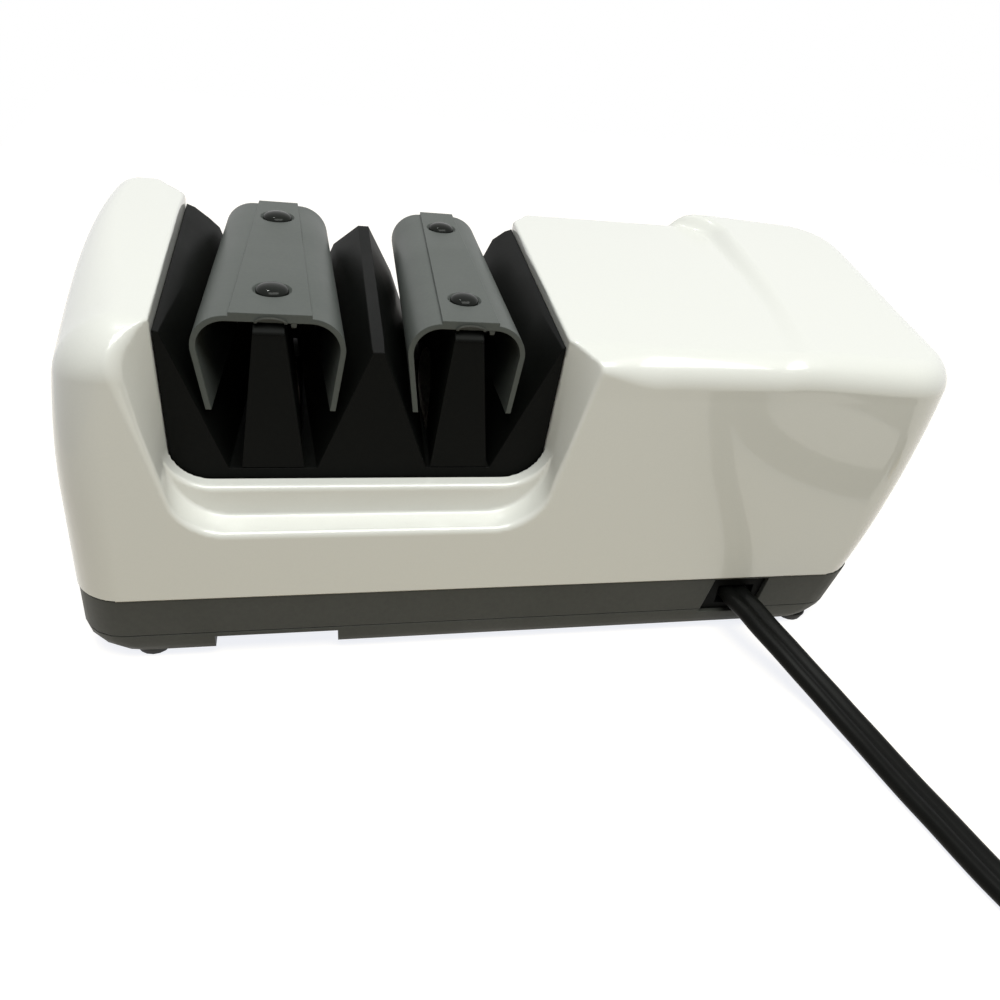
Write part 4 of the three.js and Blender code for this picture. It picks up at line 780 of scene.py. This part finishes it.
def revolve(profile, x, y, steps):
    """Rings of (radius, height) turned about an upright axis; a zero radius gives a pole."""
    points, rings = [], []
    for radius, height in profile:
        if radius == 0:
            rings.append([len(points)])
            points.append(place(x, y, height))
            continue
        rings.append(list(range(len(points), len(points) + steps)))
        for i in range(steps):
            angle = 2 * math.pi * i / steps
            points.append(place(x + radius * math.cos(angle), y + radius * math.sin(angle), height))
    faces = []
    for low, high in zip(rings, rings[1:]):
        for i in range(steps):
            j = (i + 1) % steps
            if len(low) == 1:
                faces.append((low[0], high[j], high[i]))
            elif len(high) == 1:
                faces.append((low[i], low[j], high[0]))
            else:
                faces.append((low[i], low[j], high[j], high[i]))
    return points, faces


def spring_section(form, y):
    """The sheet's outline across Y, over its outer side and back along the inner one."""
    def along(ends):
        return mix(*ends, (y / INSERT_HALF + 1) / 2)

    def half_outline(inset):
        hip = along(form["hip"]) - inset
        tip = along(form["tip"]) - inset
        lean = math.atan((hip - tip) / (SPRING_HIP - SPRING_TIP))
        radius = SHOULDER - inset
        centre = hip - radius / math.cos(lean)
        points = [(tip, SPRING_TIP)]
        for angle in np.linspace(-lean, math.pi / 2, SHOULDER_STEPS):
            height = SPRING_TOP - SHOULDER + radius * math.sin(angle)
            points.append((centre + radius * math.cos(angle), height))
        return points

    outer = half_outline(0)
    wide = along(form["strip"])
    middle = form["shift"]
    edge = [(wide + 0.02, SPRING_TOP), (wide, STRIP_TOP - STRIP_EDGE), (wide - STRIP_EDGE, STRIP_TOP)]
    inner = half_outline(SPRING_WALL)
    right_side = outer + [(middle + x, z) for x, z in edge]
    left_side = [(-x, z) for x, z in outer] + [(middle - x, z) for x, z in edge]
    return right_side + left_side[::-1] + [(-x, z) for x, z in inner] + inner[::-1]


def spring_mould(form):
    """The sheet from its front edge to its rear one, through a ring in the middle."""
    rings = [
        [place(form["x"] + x, y, z) for x, z in spring_section(form, y)]
        for y in (-SPRING_HALF, 0, SPRING_HALF)
    ]
    points = [point for ring in rings for point in ring]
    return points, tube_faces(len(rings[0]), len(rings), inside_out=True)


def cut_away(obj, *cutters):
    """Cuts other meshes out of one, and leaves the result as its own mesh."""
    for cutter in cutters:
        cut = obj.modifiers.new("cut", "BOOLEAN")
        cut.operation = "DIFFERENCE"
        cut.solver = "EXACT"
        cut.object = cutter
    result = bpy.data.meshes.new_from_object(obj.evaluated_get(bpy.context.evaluated_depsgraph_get()))
    obj.modifiers.clear()
    obj.data = result
    for cutter in cutters:
        bpy.data.objects.remove(cutter)


def plain_mesh(name, points, faces):
    mesh = bpy.data.meshes.new(name)
    mesh.from_pydata([tuple(p) for p in points], [], faces)
    obj = bpy.data.objects.new(name, mesh)
    bpy.context.scene.collection.objects.link(obj)
    return obj


def seat_cutters(name, head, x, y):
    """What a rivet's flared seat and its bore take out of the sheet."""
    rim = head + SEAT_GAP
    seat = [(0, SEAT_FLOOR), (rim, SEAT_FLOOR), (rim + SEAT_FLARE, STRIP_TOP + 0.01)]
    seat += [(rim + SEAT_FLARE, SEAT_TOP), (0, SEAT_TOP)]
    bore = [(0, BORE_BOTTOM), (BORE, BORE_BOTTOM), (BORE, BORE_TOP), (0, BORE_TOP)]
    return [
        plain_mesh(f"seat_{name}", *revolve(seat, x, y, RIVET_STEPS)),
        plain_mesh(f"bore_{name}", *revolve(bore, x, y, BORE_STEPS)),
    ]


def rivet_profile(head):
    """Half of a rivet's section: its shank, the underside of its head and the dome."""
    inset, lift = HEAD_CHAMFER
    profile = [(0, SHANK_BOTTOM), (SHANK, SHANK_BOTTOM), (SHANK, HEAD_BOTTOM)]
    profile += [(head - inset, HEAD_BOTTOM), (head, HEAD_BOTTOM + lift), (head, DOME_BOTTOM)]
    for angle in np.radians(np.arange(DOME_ARC, 90, DOME_ARC)):
        profile.append((head * math.cos(angle), DOME_BOTTOM + DOME_RISE * math.sin(angle)))
    return profile + [(0, DOME_BOTTOM + DOME_RISE)]


for side, form in STAGES.items():
    points, faces = spring_mould(form)
    spring = new_piece(
        f"guide_sheet_{side}", points, faces, "grey_plastic", "housing", f"guide_spring_{side}")
    cutters = []
    rivet_x = form["x"] + form["shift"]
    for end, rivet_y in zip(("front", "rear"), form["rivets"]):
        name = f"{side}_{end}"
        cutters += seat_cutters(name, form["rivet"], rivet_x, rivet_y)
        points, faces = revolve(rivet_profile(form["rivet"]), rivet_x, rivet_y, RIVET_STEPS)
        new_piece(f"rivet_{name}_dome", points, faces, "gloss_black", "housing", f"rivet_{name}")
    cut_away(spring, *cutters)
    smooth_over(spring, SHEET_CREASE)


def along_y(name, outline, x, slot, ends, sharp):
    """An outline in (x, z), anticlockwise from the front, drawn from one Y to another."""
    points = [place(x + u, y, z) for y in ends for u, z in outline]
    faces = tube_faces(len(outline), 2, inside_out=True)
    smooth_over(new_piece(name, points, faces, slot, "housing"), sharp)


def along_x(name, outline, x, slot, widths, sharp):
    """An outline in (y, z) drawn across X, from one half width to another as it rises."""
    low, high = min(z for _, z in outline), max(z for _, z in outline)
    points = []
    for way in (-1, 1):
        for y, z in outline:
            points.append(place(x + way * mix(*widths, (z - low) / (high - low)), y, z))
    faces = tube_faces(len(outline), 2)
    smooth_over(new_piece(name, points, faces, slot, "housing"), sharp)


# Gussets that brace each post under its spring, behind the discs
GUSSET_ENDS = (34, 35.6)
GUSSET_AT = 35
GUSSET_FOOT = 57.6

for side, form in STAGES.items():
    share = (GUSSET_AT / INSERT_HALF + 1) / 2
    foot = mix(*form["tip"], share) - SPRING_WALL - 1.6
    wide = mix(*form["hip"], share) - SPRING_WALL - 1
    half = [(foot, 74), (wide, 90), (wide - 0.8, 95.2), (wide - 3.2, 97.5), (wide - 5.6, 97.95)]
    outline = [(-foot, GUSSET_FOOT), (foot, GUSSET_FOOT)] + half + [(-x, z) for x, z in half[::-1]]
    along_y(f"post_gusset_{side}", outline, form["x"], "black_plastic", GUSSET_ENDS, SHEET_CREASE)


# At each spring's front: the satin cap of its post, an arched lug under the strip and a tab beside it
CAP_SECTION = [
    (-39.4, 97.7), (-40, 97.7), (-40.9, 97.25), (-41.9, 96.6), (-42.55, 96.1), (-42.85, 95.75),
    (-42.9, 95.5), (-42.75, 95.3), (-42.3, 95.3),
]
CAP_HALVES = (3.78, 3.62)
TAB_SECTION = [(-41.3, 98.05), (-41.2, 97.0), (-40.9, 96.6), (-40.3, 96.6), (-39.9, 97.0), (-39.7, 98.05)]
TAB_HALVES = (0.55, 0.75)
TAB_AT = 5.9
LUG_ENDS = (-42.1, -41.3)
LUG_FOOT = 98.0
LUG_OUTER = (3.9, 1.5)
LUG_INNER = (3.2, 0.95)
LUG_STEPS = 16
SMALL_CREASE = 40


def arc(half_wide, rise):
    """Half an ellipse over the lug's foot, from right to left."""
    angles = [math.pi * i / LUG_STEPS for i in range(LUG_STEPS + 1)]
    return [(half_wide * math.cos(angle), LUG_FOOT + rise * math.sin(angle)) for angle in angles]


for side, form in STAGES.items():
    along_x(f"post_cap_{side}", CAP_SECTION, form["x"], "black_plastic", CAP_HALVES, SMALL_CREASE)
    lug = arc(*LUG_OUTER) + arc(*LUG_INNER)[::-1]
    lug_x = form["x"] + form["shift"]
    along_y(f"strip_lug_{side}", lug, lug_x, "charcoal_plastic", LUG_ENDS, SMALL_CREASE)
    tab_x = form["x"] + TAB_AT
    along_x(f"strip_tab_{side}", TAB_SECTION, tab_x, "grey_plastic", TAB_HALVES, SMALL_CREASE)
